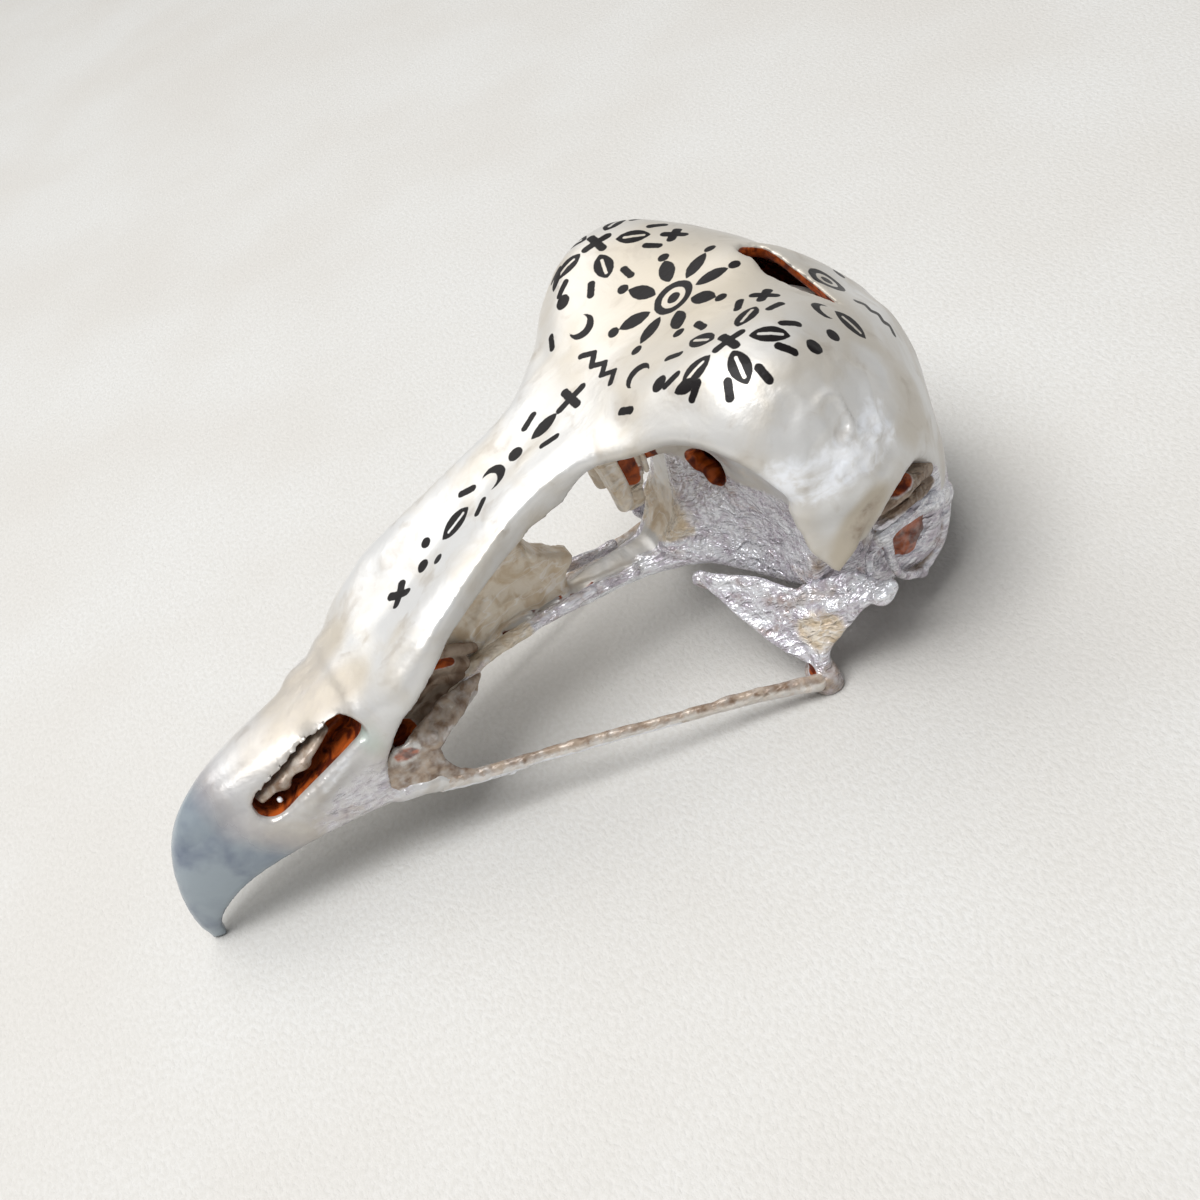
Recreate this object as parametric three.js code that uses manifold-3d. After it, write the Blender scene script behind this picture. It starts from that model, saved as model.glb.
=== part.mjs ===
// Life-size skull of a barn owl without its lower jaw, in millimetres.
// +X points to the tip of the bill, +Y to the skull's left and +Z up; the skull stands on z = 0.
// Heights are above the surface it stands on, and "back" is the distance behind the tip of the bill.
import * as THREE from 'three';
import { mergeVertices } from 'three/addons/utils/BufferGeometryUtils.js';
import Module from 'manifold-3d';

const wasm = await Module();
wasm.setup();

// ---- Driving dimensions -------------------------------------------------------------------------

const TIP_X = 31.42;
const SEAM = 0.32;
const WALL = 1.1;
const SIDES = [1, -1];
const SIDE_NAMES = { 1: 'left', [-1]: 'right' };

// The bill: its ridge above, its cutting edge below, and half its width at that edge.
const BILL = [
  { ridge: [0.15, 0.0], edge: [1.15, 0.0], half: 0.35, boxy: 2.0 },
  { ridge: [-0.15, 1.6], edge: [1.3, 1.0], half: 0.85, boxy: 2.0 },
  { ridge: [0.1, 4.3], edge: [2.1, 2.4], half: 1.45, boxy: 2.1 },
  { ridge: [1.1, 7.5], edge: [3.6, 3.6], half: 2.15, boxy: 2.2 },
  { ridge: [2.9, 10.1], edge: [5.6, 4.5], half: 2.8, boxy: 2.3 },
  { ridge: [5.6, 11.9], edge: [8.2, 5.0], half: 3.5, boxy: 2.4 },
  { ridge: [9.2, 13.0], edge: [11.0, 5.3], half: 4.2, boxy: 2.6 },
  { ridge: [13.2, 13.7], edge: [14.0, 5.4], half: 4.8, boxy: 2.8 },
  { ridge: [17.2, 14.5], edge: [17.2, 5.2], half: 5.4, boxy: 2.9 },
  { ridge: [19.8, 15.2], edge: [19.7, 5.0], half: 5.9, boxy: 2.9 },
];

// The cranium behind it: at each distance back, the crown on the midline, the swelling beside it,
// the rim or side wall, the base, and the keel on the midline, as [half-width, height] pairs.
const CRANIUM = [
  { back: 17.5, crown: 14.4, swelling: [3.2, 14.2], side: [5.0, 12.2], base: [2.4, 9.6], keel: 8.6 },
  { back: 20.5, crown: 15.5, swelling: [4.2, 15.8], side: [6.2, 14.2], base: [2.2, 10.2], keel: 8.8 },
  { back: 24.0, crown: 16.8, swelling: [4.6, 17.6], side: [6.4, 16.6], base: [2.0, 10.8], keel: 8.8 },
  { back: 29.0, crown: 19.0, swelling: [3.8, 19.4], side: [5.3, 18.8], base: [1.8, 11.0], keel: 8.6 },
  { back: 33.0, crown: 20.7, swelling: [3.2, 20.9], side: [4.8, 20.3], base: [1.8, 11.0], keel: 8.3 },
  { back: 37.0, crown: 21.8, swelling: [3.8, 22.0], side: [5.4, 21.2], base: [2.4, 10.6], keel: 8.0 },
  { back: 40.5, crown: 22.9, swelling: [5.6, 23.0], side: [8.7, 21.9], base: [4.2, 10.0], keel: 7.9 },
  { back: 43.0, crown: 23.7, swelling: [8.4, 24.6], side: [12.4, 21.2], base: [6.4, 9.0], keel: 7.3 },
  { back: 45.2, crown: 24.3, swelling: [10.6, 25.8], side: [15.2, 18.2], base: [8.6, 7.6], keel: 6.6 },
  { back: 48.0, crown: 25.0, swelling: [11.8, 26.3], side: [16.4, 16.4], base: [10.0, 6.0], keel: 5.6 },
  { back: 51.0, crown: 25.8, swelling: [11.6, 26.0], side: [16.6, 15.8], base: [10.6, 4.4], keel: 4.4 },
  { back: 54.0, crown: 26.0, swelling: [9.6, 24.6], side: [15.4, 14.6], base: [10.4, 3.6], keel: 4.0 },
  { back: 57.0, crown: 24.2, swelling: [8.4, 22.2], side: [13.0, 13.0], base: [9.6, 3.2], keel: 3.9 },
  { back: 59.4, crown: 21.6, swelling: [6.6, 19.8], side: [9.6, 11.6], base: [7.6, 3.6], keel: 4.3 },
  { back: 61.4, crown: 18.7, swelling: [3.8, 17.6], side: [5.4, 11.2], base: [4.6, 5.2], keel: 5.2 },
  { back: 63.0, crown: 14.8, swelling: [1.6, 14.2], side: [2.2, 11.2], base: [1.8, 7.6], keel: 7.2 },
];

// The openings, as middle [back, side, height] and radii.
const ORBIT = [
  { middle: [35.6, 11.2, 11.4], radii: [11.6, 10.4, 9.6] },
  { middle: [40.5, 12.5, 12.5], radii: [7.2, 8.2, 10.6] },
  { middle: [40.0, 6.8, 15.8], radii: [5.9, 6.2, 5.4] },
];
const QUADRATE_HOLLOW = { middle: [48.0, 16.6, 6.4], radii: [5.6, 5.4, 5.8] };
const EAR_WALL_SHARE = 0.7;
const HOLLOW = { from: 44.8, to: 62.0 };
const NOSTRIL = { front: [9.1, 10.0], rear: [16.1, 12.6], radius: 1.25, septum: 1.2 };
const BEYOND_SIDE = 9;
const WINDOW = {
  outline: [
    [16.6, 7.2], [17.4, 9.6], [19.8, 12.6], [23.4, 15.0], [27.0, 16.4], [32.0, 17.8], [32.0, 7.0],
    [20.0, 6.2],
  ],
  inner: 1.3,
};
const FENESTRA = {
  outline: [
    [33.8, 9.9], [34.0, 11.3], [35.1, 12.5], [33.0, 14.3], [31.8, 17.0], [33.0, 19.2], [38.4, 19.6],
    [39.4, 16.5], [39.9, 13.4], [41.2, 13.2], [42.2, 16.0], [43.9, 16.4], [43.2, 13.0], [41.4, 10.4],
    [40.4, 9.4],
  ],
  reach: 4,
};
const PALATE = { middle: [12.5, 0, 3.4], radii: [9.5, 3.1, 2.8] };
const EAR = { middle: [54.2, 15.0, 8.6], radii: [3.9, 4.2, 5.0] };
const FORAMEN_MAGNUM = { middle: [59.5, 0, 4.6], radii: [3.7, 3.4, 4.4] };
const OPTIC_FORAMEN = { middle: [45.6, 4.6, 15.6], radii: [2.6, 1.4, 1.3] };
const ROOF_HOLE = {
  outline: [
    [53.9, 0.2], [54.5, -0.7], [55.8, -0.4], [56.2, 2.0], [56.6, 4.2], [56.4, 7.2], [55.0, 5.8], [54.1, 3.4],
    [54.3, 1.6],
  ],
  bottom: 15,
  top: 40,
};

// The bars and plates, as routes of [back, side, height] with half-widths across and up.
const BEAM = {
  route: [[22.0, 0, 9.0], [27.0, 0, 9.3], [33.0, 0, 9.0], [38.5, 0, 8.5], [43.5, 0, 7.7]],
  across: [1.3, 1.0, 0.9, 1.2, 2.6],
  up: [0.9, 0.75, 0.75, 0.9, 1.3],
};
const CHEEK_BAR = {
  route: [
    [19.95, 5.6, 5.3], [22.0, 6.1, 4.9], [27.0, 7.4, 4.3], [35.0, 9.9, 3.1], [41.0, 11.6, 2.1],
    [44.0, 12.6, 1.5],
  ],
  across: [0.5, 0.42, 0.4, 0.4, 0.45, 0.6],
  up: [0.9, 0.65, 0.6, 0.6, 0.6, 0.7],
};
const PALATINE = {
  route: [
    [19.95, 3.0, 7.4], [22.0, 2.9, 8.9], [25.0, 2.5, 10.4], [29.5, 2.3, 10.5], [34.0, 2.0, 10.2],
    [38.4, 1.9, 9.5],
  ],
  across: [0.9, 0.9, 0.8, 0.6, 0.45, 0.35],
  up: [0.4, 0.45, 0.5, 0.6, 0.5, 0.4],
};
const PTERYGOID = {
  route: [[45.0, 10.2, 2.1], [44.2, 8.0, 3.5], [43.0, 5.4, 5.0], [41.6, 3.4, 5.9]],
  across: [0.7, 0.45, 0.45, 0.7],
  up: [0.6, 0.5, 0.5, 0.5],
};
const QUADRATE = {
  foot: [45.2, 12.3, 0.0],
  neck: [45.6, 11.9, 3.0],
  shoulder: [46.4, 11.2, 5.2],
  knob: [50.2, 14.8, 6.6],
  blade: [
    [45.6, 12.0, 2.6], [46.8, 11.6, 5.6], [45.0, 9.0, 6.6], [42.0, 5.2, 8.2], [43.2, 7.6, 4.8],
    [44.3, 10.2, 2.8],
  ],
  fan: [[45.6, 12.0, 2.6], [47.4, 12.7, 4.3], [49.4, 14.2, 6.0], [46.4, 11.2, 5.4]],
  bladeThickness: 0.7,
  condyle: [45.1, 11.8, 1.0],
  condyleRadii: [1.1, 1.7, 1.15],
  knobRadii: [1.0, 0.9, 1.0],
  post: { across: [1.25, 0.9, 1.0], up: [1.0, 0.8, 0.7] },
  arm: { across: [0.75, 0.85], up: [0.7, 0.8] },
};

// Where the fused skull is parted, as distances back, and its ends with room to spare.
const CUTS = { front: -5, tip: 6.4, hinge: 19.6, brow: 40.6, rear: 80 };

// How the rings are shaped between their named points.
const BILL_EDGE_LIFT = 0.12;
const BILL_UNDER_CURVE = 0.8;
const ROOF_POINT = { reach: 0.45, crownShare: 0.5 };
const SHOULDER = { sideShare: 0.72, bulge: 0.4, heightShare: 0.4 };
const FLANK = { sideShare: 0.62, heightShare: 0.45 };
const SMALLEST_RING = 0.05;

// How finely each shape is faceted, along its length and round it.
const BILL_FACETS = { along: 22, round: 18 };
const CRANIUM_FACETS = { along: 23, round: 20 };
const HOLLOW_FACETS = { along: 13, round: 14 };
const BEAM_FACETS = { along: 16, round: 10 };
const BAR_FACETS = { along: 14, round: 8 };
const SHORT_BAR_FACETS = { along: 8, round: 8 };
const BALL_FACETS = { orbit: 17, large: 16, middling: 12, small: 10, flatness: 0.6 };
const NOSTRIL_ARC_STEPS = 5;

// Boxes larger than the skull, for parting it and for the surface it stands on.
const BEYOND = 90;

// ---- Colours ------------------------------------------------------------------------------------

const FINISH = {
  horn: { color: 0x9fb0bd, roughness: 0.35, metalness: 0.15 },
  pearl: { color: 0xe9e6df, roughness: 0.32, metalness: 0.1 },
  silver: { color: 0xc9c2be, roughness: 0.3, metalness: 0.35 },
  thin: { color: 0xcdbfa8, roughness: 0.4, metalness: 0.15 },
};

// ---- Shape helpers ------------------------------------------------------------------------------

function at([back, side, height]) {
  return new THREE.Vector3(TIP_X - back, side, height);
}

function mirrored([back, side, height], sign) {
  return [back, side * sign, height];
}

// Closed skin through a list of rings, each with the same number of points.
function loft(rings) {
  const count = rings[0].length;
  const points = rings.flat();
  const faces = [];
  for (let r = 0; r < rings.length - 1; r += 1) {
    for (let i = 0; i < count; i += 1) {
      const a = r * count + i;
      const b = r * count + ((i + 1) % count);
      faces.push(a, b, b + count, a, b + count, a + count);
    }
  }
  for (const [start, flip] of [[0, false], [(rings.length - 1) * count, true]]) {
    const middle = new THREE.Vector3();
    for (let i = 0; i < count; i += 1) {
      middle.addScaledVector(points[start + i], 1 / count);
    }
    const centre = points.push(middle) - 1;
    for (let i = 0; i < count; i += 1) {
      const a = start + i;
      const b = start + ((i + 1) % count);
      faces.push(centre, flip ? a : b, flip ? b : a);
    }
  }
  const geometry = new THREE.BufferGeometry().setFromPoints(points);
  geometry.setIndex(faces);
  return geometry;
}

// Turns a closed geometry into a solid for cutting and joining, with its faces pointing out.
function solid(geometry) {
  const bare = geometry.clone();
  bare.deleteAttribute('normal');
  bare.deleteAttribute('uv');
  const merged = mergeVertices(bare, 1e-5);
  const build = (index) => new wasm.Manifold(new wasm.Mesh({
    numProp: 3,
    vertProperties: new Float32Array(merged.attributes.position.array),
    triVerts: new Uint32Array(index),
  }));
  const index = Array.from(merged.index.array);
  const first = build(index);
  return first.volume() > 0 ? first : build(index.reverse());
}

function geometryOf(body) {
  const mesh = body.getMesh();
  const geometry = new THREE.BufferGeometry();
  geometry.setAttribute('position', new THREE.BufferAttribute(new Float32Array(mesh.vertProperties), 3));
  geometry.setIndex(Array.from(mesh.triVerts));
  geometry.computeVertexNormals();
  return geometry;
}

function unite(bodies) {
  return bodies.reduce((whole, body) => whole.add(body));
}

function ellipsoid({ middle, radii }, facets, grow = 0) {
  const geometry = new THREE.SphereGeometry(1, facets, Math.round(facets * BALL_FACETS.flatness));
  geometry.scale(...radii.map((radius) => radius + grow));
  const centre = at(middle);
  geometry.translate(centre.x, centre.y, centre.z);
  return solid(geometry);
}

// Flat outline in the side view, from one distance off the midline to another.
function sidePrism(outline, fromSide, toSide) {
  const shape = new THREE.Shape(outline.map(([back, height]) => new THREE.Vector2(TIP_X - back, height)));
  const geometry = new THREE.ExtrudeGeometry(shape, { depth: toSide - fromSide, bevelEnabled: false });
  geometry.rotateX(Math.PI / 2);
  geometry.translate(0, toSide, 0);
  return solid(geometry);
}

// Tapered bar of oval section along a smooth route.
function bar({ route, across, up }, facets, sign = 1) {
  const path = new THREE.CatmullRomCurve3(route.map((point) => at(mirrored(point, sign))));
  const rings = [];
  for (let step = 0; step <= facets.along; step += 1) {
    const t = step / facets.along;
    const place = t * (route.length - 1);
    const index = Math.min(Math.floor(place), route.length - 2);
    const part = place - index;
    const wide = THREE.MathUtils.lerp(across[index], across[index + 1], part);
    const tall = THREE.MathUtils.lerp(up[index], up[index + 1], part);
    const along = path.getTangent(t);
    const aside = new THREE.Vector3(0, 0, 1).cross(along).normalize();
    const above = along.clone().cross(aside).normalize();
    const centre = path.getPoint(t);
    const ring = [];
    for (let i = 0; i < facets.round; i += 1) {
      const turn = (i / facets.round) * Math.PI * 2;
      ring.push(centre.clone()
        .addScaledVector(aside, wide * Math.cos(turn))
        .addScaledVector(above, tall * Math.sin(turn)));
    }
    rings.push(ring);
  }
  return solid(loft(rings));
}

// Everything between two distances back.
function slab(fromBack, toBack) {
  const geometry = new THREE.BoxGeometry(toBack - fromBack, BEYOND, BEYOND);
  geometry.translate(TIP_X - (fromBack + toBack) / 2, 0, 0);
  return solid(geometry);
}

// ---- The fused skull ----------------------------------------------------------------------------

function billRings() {
  const ridge = new THREE.CatmullRomCurve3(BILL.map(({ ridge: [back, height] }) => at([back, 0, height])));
  const edge = new THREE.CatmullRomCurve3(BILL.map(({ edge: [back, height] }) => at([back, 0, height])));
  const rings = [];
  for (let step = 0; step <= BILL_FACETS.along; step += 1) {
    const t = step / BILL_FACETS.along;
    const place = t * (BILL.length - 1);
    const index = Math.min(Math.floor(place), BILL.length - 2);
    const half = THREE.MathUtils.lerp(BILL[index].half, BILL[index + 1].half, place - index);
    const boxy = THREE.MathUtils.lerp(BILL[index].boxy, BILL[index + 1].boxy, place - index);
    const top = ridge.getPoint(t);
    const bottom = edge.getPoint(t);
    const ring = [];
    for (let i = 0; i < BILL_FACETS.round; i += 1) {
      const turn = (i / BILL_FACETS.round) * Math.PI * 2;
      const rise = Math.cos(turn);
      const swing = Math.sin(turn);
      const lift = rise > 0
        ? BILL_EDGE_LIFT + (1 - BILL_EDGE_LIFT) * rise ** (2 / boxy)
        : BILL_EDGE_LIFT * (1 - Math.abs(rise) ** BILL_UNDER_CURVE);
      const wide = half * Math.sign(swing) * Math.abs(swing) ** (2 / boxy);
      const point = bottom.clone().lerp(top, lift);
      point.y = wide;
      ring.push(point);
    }
    rings.push(ring);
  }
  return rings;
}

// One ring of the cranium: a closed smooth curve through the station's named points.
function craniumRing(station, inset, count) {
  const { crown, swelling, side, base, keel } = station;
  const { lerp } = THREE.MathUtils;
  const half = [
    [swelling[0] * ROOF_POINT.reach, lerp(swelling[1], crown, ROOF_POINT.crownShare)],
    swelling,
    [
      lerp(swelling[0], side[0], SHOULDER.sideShare) + SHOULDER.bulge,
      lerp(swelling[1], side[1], SHOULDER.heightShare),
    ],
    side,
    [lerp(base[0], side[0], FLANK.sideShare), lerp(base[1], side[1], FLANK.heightShare)],
    base,
  ];
  const points = [[0, crown], ...half, [0, keel], ...half.map(([y, z]) => [-y, z]).reverse()];
  const middle = (crown + keel) / 2;
  const curve = new THREE.CatmullRomCurve3(
    points.map(([y, z]) => {
      const reach = Math.hypot(y, z - middle);
      const shrink = Math.max(SMALLEST_RING, 1 - inset / reach);
      return new THREE.Vector3(TIP_X - station.back, y * shrink, middle + (z - middle) * shrink);
    }),
    true,
  );
  return curve.getPoints(count).slice(0, count);
}

// The station at any distance back, on a smooth curve through the given ones.
function stationAt(back) {
  const last = CRANIUM.length - 1;
  let index = CRANIUM.findIndex((station) => station.back > back) - 1;
  if (index < 0) {
    index = last - 1;
  }
  const near = [index - 1, index, index + 1, index + 2]
    .map((place) => CRANIUM[THREE.MathUtils.clamp(place, 0, last)]);
  const t = (back - near[1].back) / (near[2].back - near[1].back);
  const pick = (read) => {
    const [a, b, c, d] = near.map(read);
    const bend = (2 * a - 5 * b + 4 * c - d) * t ** 2 + (3 * b - a - 3 * c + d) * t ** 3;
    return b + 0.5 * ((c - a) * t + bend);
  };
  return {
    back,
    crown: pick((s) => s.crown),
    swelling: [pick((s) => s.swelling[0]), pick((s) => s.swelling[1])],
    side: [pick((s) => s.side[0]), pick((s) => s.side[1])],
    base: [pick((s) => s.base[0]), pick((s) => s.base[1])],
    keel: pick((s) => s.keel),
  };
}

function craniumLoft(fromBack, toBack, inset, facets) {
  const rings = [];
  for (let step = 0; step <= facets.along; step += 1) {
    const back = THREE.MathUtils.lerp(fromBack, toBack, step / facets.along);
    rings.push(craniumRing(stationAt(back), inset, facets.round));
  }
  return solid(loft(rings));
}

// Flat outline seen from above, between two heights.
function topPrism(outline, fromHeight, toHeight) {
  const shape = new THREE.Shape(outline.map(([back, side]) => new THREE.Vector2(TIP_X - back, side)));
  const geometry = new THREE.ExtrudeGeometry(shape, { depth: toHeight - fromHeight, bevelEnabled: false });
  geometry.translate(0, 0, fromHeight);
  return solid(geometry);
}

// Flat plate with the given corners, on the plane through its first, second and fourth.
function plate(corners, thickness, sign = 1) {
  const places = corners.map((corner) => at(mirrored(corner, sign)));
  const origin = places[0];
  const first = places[1].clone().sub(origin).normalize();
  const normal = first.clone().cross(places[3].clone().sub(origin)).normalize();
  const second = normal.clone().cross(first);
  const shape = new THREE.Shape(places.map((place) => {
    const reach = place.clone().sub(origin);
    return new THREE.Vector2(reach.dot(first), reach.dot(second));
  }));
  const geometry = new THREE.ExtrudeGeometry(shape, { depth: thickness, bevelEnabled: false });
  geometry.translate(0, 0, -thickness / 2);
  geometry.applyMatrix4(new THREE.Matrix4().makeBasis(first, second, normal).setPosition(origin));
  return solid(geometry);
}

function bothSides(make) {
  return unite(SIDES.map((sign) => make(sign)));
}

function sidedEllipsoid({ middle, radii }, sign, facets, grow = 0) {
  return ellipsoid({ middle: mirrored(middle, sign), radii }, facets, grow);
}

function orbit(sign, grow) {
  return unite(ORBIT.map((hollow) => sidedEllipsoid(hollow, sign, BALL_FACETS.orbit, grow)));
}

// Pushes a flat outline through one side of the skull, from a distance off the midline.
function sideCut(outline, inner, sign) {
  return sign > 0 ? sidePrism(outline, inner, BEYOND_SIDE) : sidePrism(outline, -BEYOND_SIDE, -inner);
}

function nostril(sign) {
  const route = [NOSTRIL.front, NOSTRIL.rear];
  const path = new THREE.LineCurve(...route.map(([back, height]) => new THREE.Vector2(back, height)));
  const along = path.getTangent(0.5);
  const across = [-along.y, along.x];
  const outline = [];
  for (const [end, turn] of [[NOSTRIL.front, Math.PI / 2], [NOSTRIL.rear, -Math.PI / 2]]) {
    for (let i = 0; i <= NOSTRIL_ARC_STEPS; i += 1) {
      const angle = turn + (i / NOSTRIL_ARC_STEPS) * Math.PI;
      outline.push([
        end[0] + NOSTRIL.radius * (Math.cos(angle) * along.x + Math.sin(angle) * across[0]),
        end[1] + NOSTRIL.radius * (Math.cos(angle) * along.y + Math.sin(angle) * across[1]),
      ]);
    }
  }
  return sideCut(outline, NOSTRIL.septum, sign);
}

function fusedSkull() {
  const { large, small } = BALL_FACETS;
  const bill = solid(loft(billRings()));
  const cranium = craniumLoft(CRANIUM[0].back, CRANIUM[CRANIUM.length - 1].back, 0, CRANIUM_FACETS);
  const hollow = craniumLoft(HOLLOW.from, HOLLOW.to, WALL, HOLLOW_FACETS)
    .subtract(bothSides((sign) => orbit(sign, WALL)))
    .subtract(bothSides((sign) => sidedEllipsoid(EAR, sign, large, WALL * EAR_WALL_SHARE)))
    .subtract(bothSides((sign) => sidedEllipsoid(QUADRATE_HOLLOW, sign, large, WALL)));
  const openings = unite([
    bothSides((sign) => orbit(sign, 0)),
    bothSides((sign) => sidedEllipsoid(QUADRATE_HOLLOW, sign, large)),
    bothSides((sign) => sidedEllipsoid(EAR, sign, large)),
    bothSides((sign) => sidedEllipsoid(OPTIC_FORAMEN, sign, small)),
    bothSides(nostril),
    bothSides((sign) => sideCut(WINDOW.outline, WINDOW.inner, sign)),
    sidePrism(FENESTRA.outline, -FENESTRA.reach, FENESTRA.reach),
    ellipsoid(PALATE, large),
    ellipsoid(FORAMEN_MAGNUM, large),
    topPrism(ROOF_HOLE.outline, ROOF_HOLE.bottom, ROOF_HOLE.top),
  ]);
  return bill.add(cranium).subtract(openings).subtract(hollow).add(bar(BEAM, BEAM_FACETS));
}

// ---- The loose bones ----------------------------------------------------------------------------

function aboveFloor(body) {
  const room = new THREE.BoxGeometry(BEYOND, BEYOND, BEYOND);
  room.translate(0, 0, BEYOND / 2);
  return body.intersect(solid(room));
}

function quadrate(sign) {
  const { foot, neck, shoulder, knob, condyle, condyleRadii, knobRadii } = QUADRATE;
  return aboveFloor(unite([
    bar({ route: [foot, neck, shoulder], ...QUADRATE.post }, SHORT_BAR_FACETS, sign),
    bar({ route: [shoulder, knob], ...QUADRATE.arm }, SHORT_BAR_FACETS, sign),
    plate(QUADRATE.blade, QUADRATE.bladeThickness, sign),
    plate(QUADRATE.fan, QUADRATE.bladeThickness, sign),
    sidedEllipsoid({ middle: condyle, radii: condyleRadii }, sign, BALL_FACETS.middling),
    sidedEllipsoid({ middle: knob, radii: knobRadii }, sign, BALL_FACETS.small),
  ]));
}

// ---- Assembly -----------------------------------------------------------------------------------

const skull = new THREE.Group();

function addPart(name, body, finish) {
  const mesh = new THREE.Mesh(geometryOf(body), new THREE.MeshStandardMaterial(FINISH[finish]));
  mesh.name = name;
  skull.add(mesh);
}

const fused = fusedSkull();
const lengths = [
  ['bill_tip', CUTS.front, CUTS.tip, 'horn'],
  ['bill', CUTS.tip + SEAM, CUTS.hinge, 'pearl'],
  ['forehead', CUTS.hinge + SEAM, CUTS.brow, 'pearl'],
  ['braincase', CUTS.brow + SEAM, CUTS.rear, 'pearl'],
];
for (const [name, fromBack, toBack, finish] of lengths) {
  addPart(name, fused.intersect(slab(fromBack, toBack)), finish);
}
for (const sign of SIDES) {
  const side = SIDE_NAMES[sign];
  addPart(`cheek_bar_${side}`, bar(CHEEK_BAR, BAR_FACETS, sign), 'thin');
  addPart(`palatine_${side}`, bar(PALATINE, BAR_FACETS, sign), 'silver');
  addPart(`pterygoid_${side}`, bar(PTERYGOID, SHORT_BAR_FACETS, sign), 'silver');
  addPart(`quadrate_${side}`, quadrate(sign), 'silver');
}

export default skull;
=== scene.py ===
"""A bird skull at life size, with a pearl finish, a horn bill tip and an inked ornament.

Shapes are worked out in millimetres as (back, side, height): the distance behind the tip of the bill,
the distance to the skull's left of the midline, and the height above the floor.
"""

import logging
import math
from dataclasses import dataclass
from enum import Enum

import bpy
import numpy as np
from mathutils import Matrix, Vector


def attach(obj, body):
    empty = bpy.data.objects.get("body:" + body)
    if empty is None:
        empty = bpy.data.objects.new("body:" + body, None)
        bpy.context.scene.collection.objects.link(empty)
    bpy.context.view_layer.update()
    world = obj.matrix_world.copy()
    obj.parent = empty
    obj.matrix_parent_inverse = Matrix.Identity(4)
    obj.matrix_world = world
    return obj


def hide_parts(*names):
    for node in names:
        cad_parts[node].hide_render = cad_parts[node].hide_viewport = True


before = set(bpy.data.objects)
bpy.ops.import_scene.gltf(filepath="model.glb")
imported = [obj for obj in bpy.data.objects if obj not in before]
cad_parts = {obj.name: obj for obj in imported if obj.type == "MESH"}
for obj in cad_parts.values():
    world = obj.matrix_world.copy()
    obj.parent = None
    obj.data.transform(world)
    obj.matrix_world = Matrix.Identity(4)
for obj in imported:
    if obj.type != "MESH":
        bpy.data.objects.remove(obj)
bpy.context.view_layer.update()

LOG = logging.getLogger("skull")

MM = 0.001
TIP_X = 31.42
SIDES = {"left": 1.0, "right": -1.0}
FAR = 9.0
SIDES_OF_A_FACE = ((0, 1), (1, 2), (2, 0))

Pair = tuple[float, float]
Triple = tuple[float, float, float]


# ---- Curves and noise ---------------------------------------------------------------------------


def smooth_curve(points: np.ndarray, places: np.ndarray, closed: bool = False) -> np.ndarray:
    """Centripetal Catmull-Rom curve through points.

    Args:
        points: control points, one row each.
        places: where to read the curve, from 0 at its start to 1 at its end.
        closed: whether the curve runs back to its first point.

    Returns:
        One row for each place.
    """
    count = len(points)
    if closed:
        row = np.vstack([points[-1:], points, points[:2]])
    else:
        row = np.vstack([2 * points[0] - points[1], points, 2 * points[-1] - points[-2]])
    spans = count if closed else count - 1
    at = np.clip(places, 0, 1) * spans
    index = np.minimum(at.astype(int), spans - 1)
    part = (at - index)[:, None]
    p0, p1, p2, p3 = (row[index + step] for step in range(4))
    d0, d1, d2 = (
        np.maximum(np.sqrt(np.linalg.norm(b - a, axis=1, keepdims=True)), 1e-4)
        for a, b in ((p0, p1), (p1, p2), (p2, p3))
    )
    t1 = ((p1 - p0) / d0 - (p2 - p0) / (d0 + d1) + (p2 - p1) / d1) * d1
    t2 = ((p2 - p1) / d1 - (p3 - p1) / (d1 + d2) + (p3 - p2) / d2) * d1
    return (
        p1
        + t1 * part
        + (3 * (p2 - p1) - 2 * t1 - t2) * part**2
        + (2 * (p1 - p2) + t1 + t2) * part**3
    )


def step_up(values: np.ndarray, low: float, high: float) -> np.ndarray:
    """Smooth rise from 0 at low to 1 at high."""
    part = np.clip((values - low) / (high - low), 0, 1)
    return part * part * (3 - 2 * part)


class Noise:
    """Smooth seeded noise, from a cube of random numbers that repeats."""

    CELLS = 32

    def __init__(self, seed: int) -> None:
        """Draws the cube of numbers, from -1 to 1."""
        draw = np.random.default_rng(seed)
        self.cube = draw.uniform(-1, 1, (self.CELLS,) * 3).astype(np.float32)

    def single(self, points: np.ndarray, grain: float) -> np.ndarray:
        """Noise at points, with lumps about grain millimetres across."""
        scaled = points / grain + self.CELLS * 8
        base = np.floor(scaled).astype(int)
        part = scaled - base
        part = part * part * (3 - 2 * part)
        total = np.zeros(len(points), np.float32)
        for corner in np.ndindex(2, 2, 2):
            weight = np.prod(np.where(np.array(corner) == 1, part, 1 - part), axis=1)
            i, j, k = ((base + np.array(corner)) % self.CELLS).T
            total += (weight * self.cube[i, j, k]).astype(np.float32)
        return total

    def layered(self, points: np.ndarray, grain: float, layers: int = 3) -> np.ndarray:
        """Several sizes of noise on top of each other, each half as large as the one before."""
        total = np.zeros(len(points), np.float32)
        for layer in range(layers):
            shift = np.array([7.3, 3.1, 5.7]) * layer
            total += self.single(points + shift, grain / 2**layer) / 2**layer
        return total


# ---- Solid shapes as distances -------------------------------------------------------------------


class Shape:
    """A solid given by how far a point lies outside it; points inside have distances below nothing."""

    def reach(self) -> tuple[np.ndarray, np.ndarray]:
        """Lowest and highest corner of the box that holds the solid."""
        raise NotImplementedError

    def distance(self, points: np.ndarray) -> np.ndarray:
        """Distance of each point from the solid's surface, in millimetres."""
        raise NotImplementedError


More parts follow.
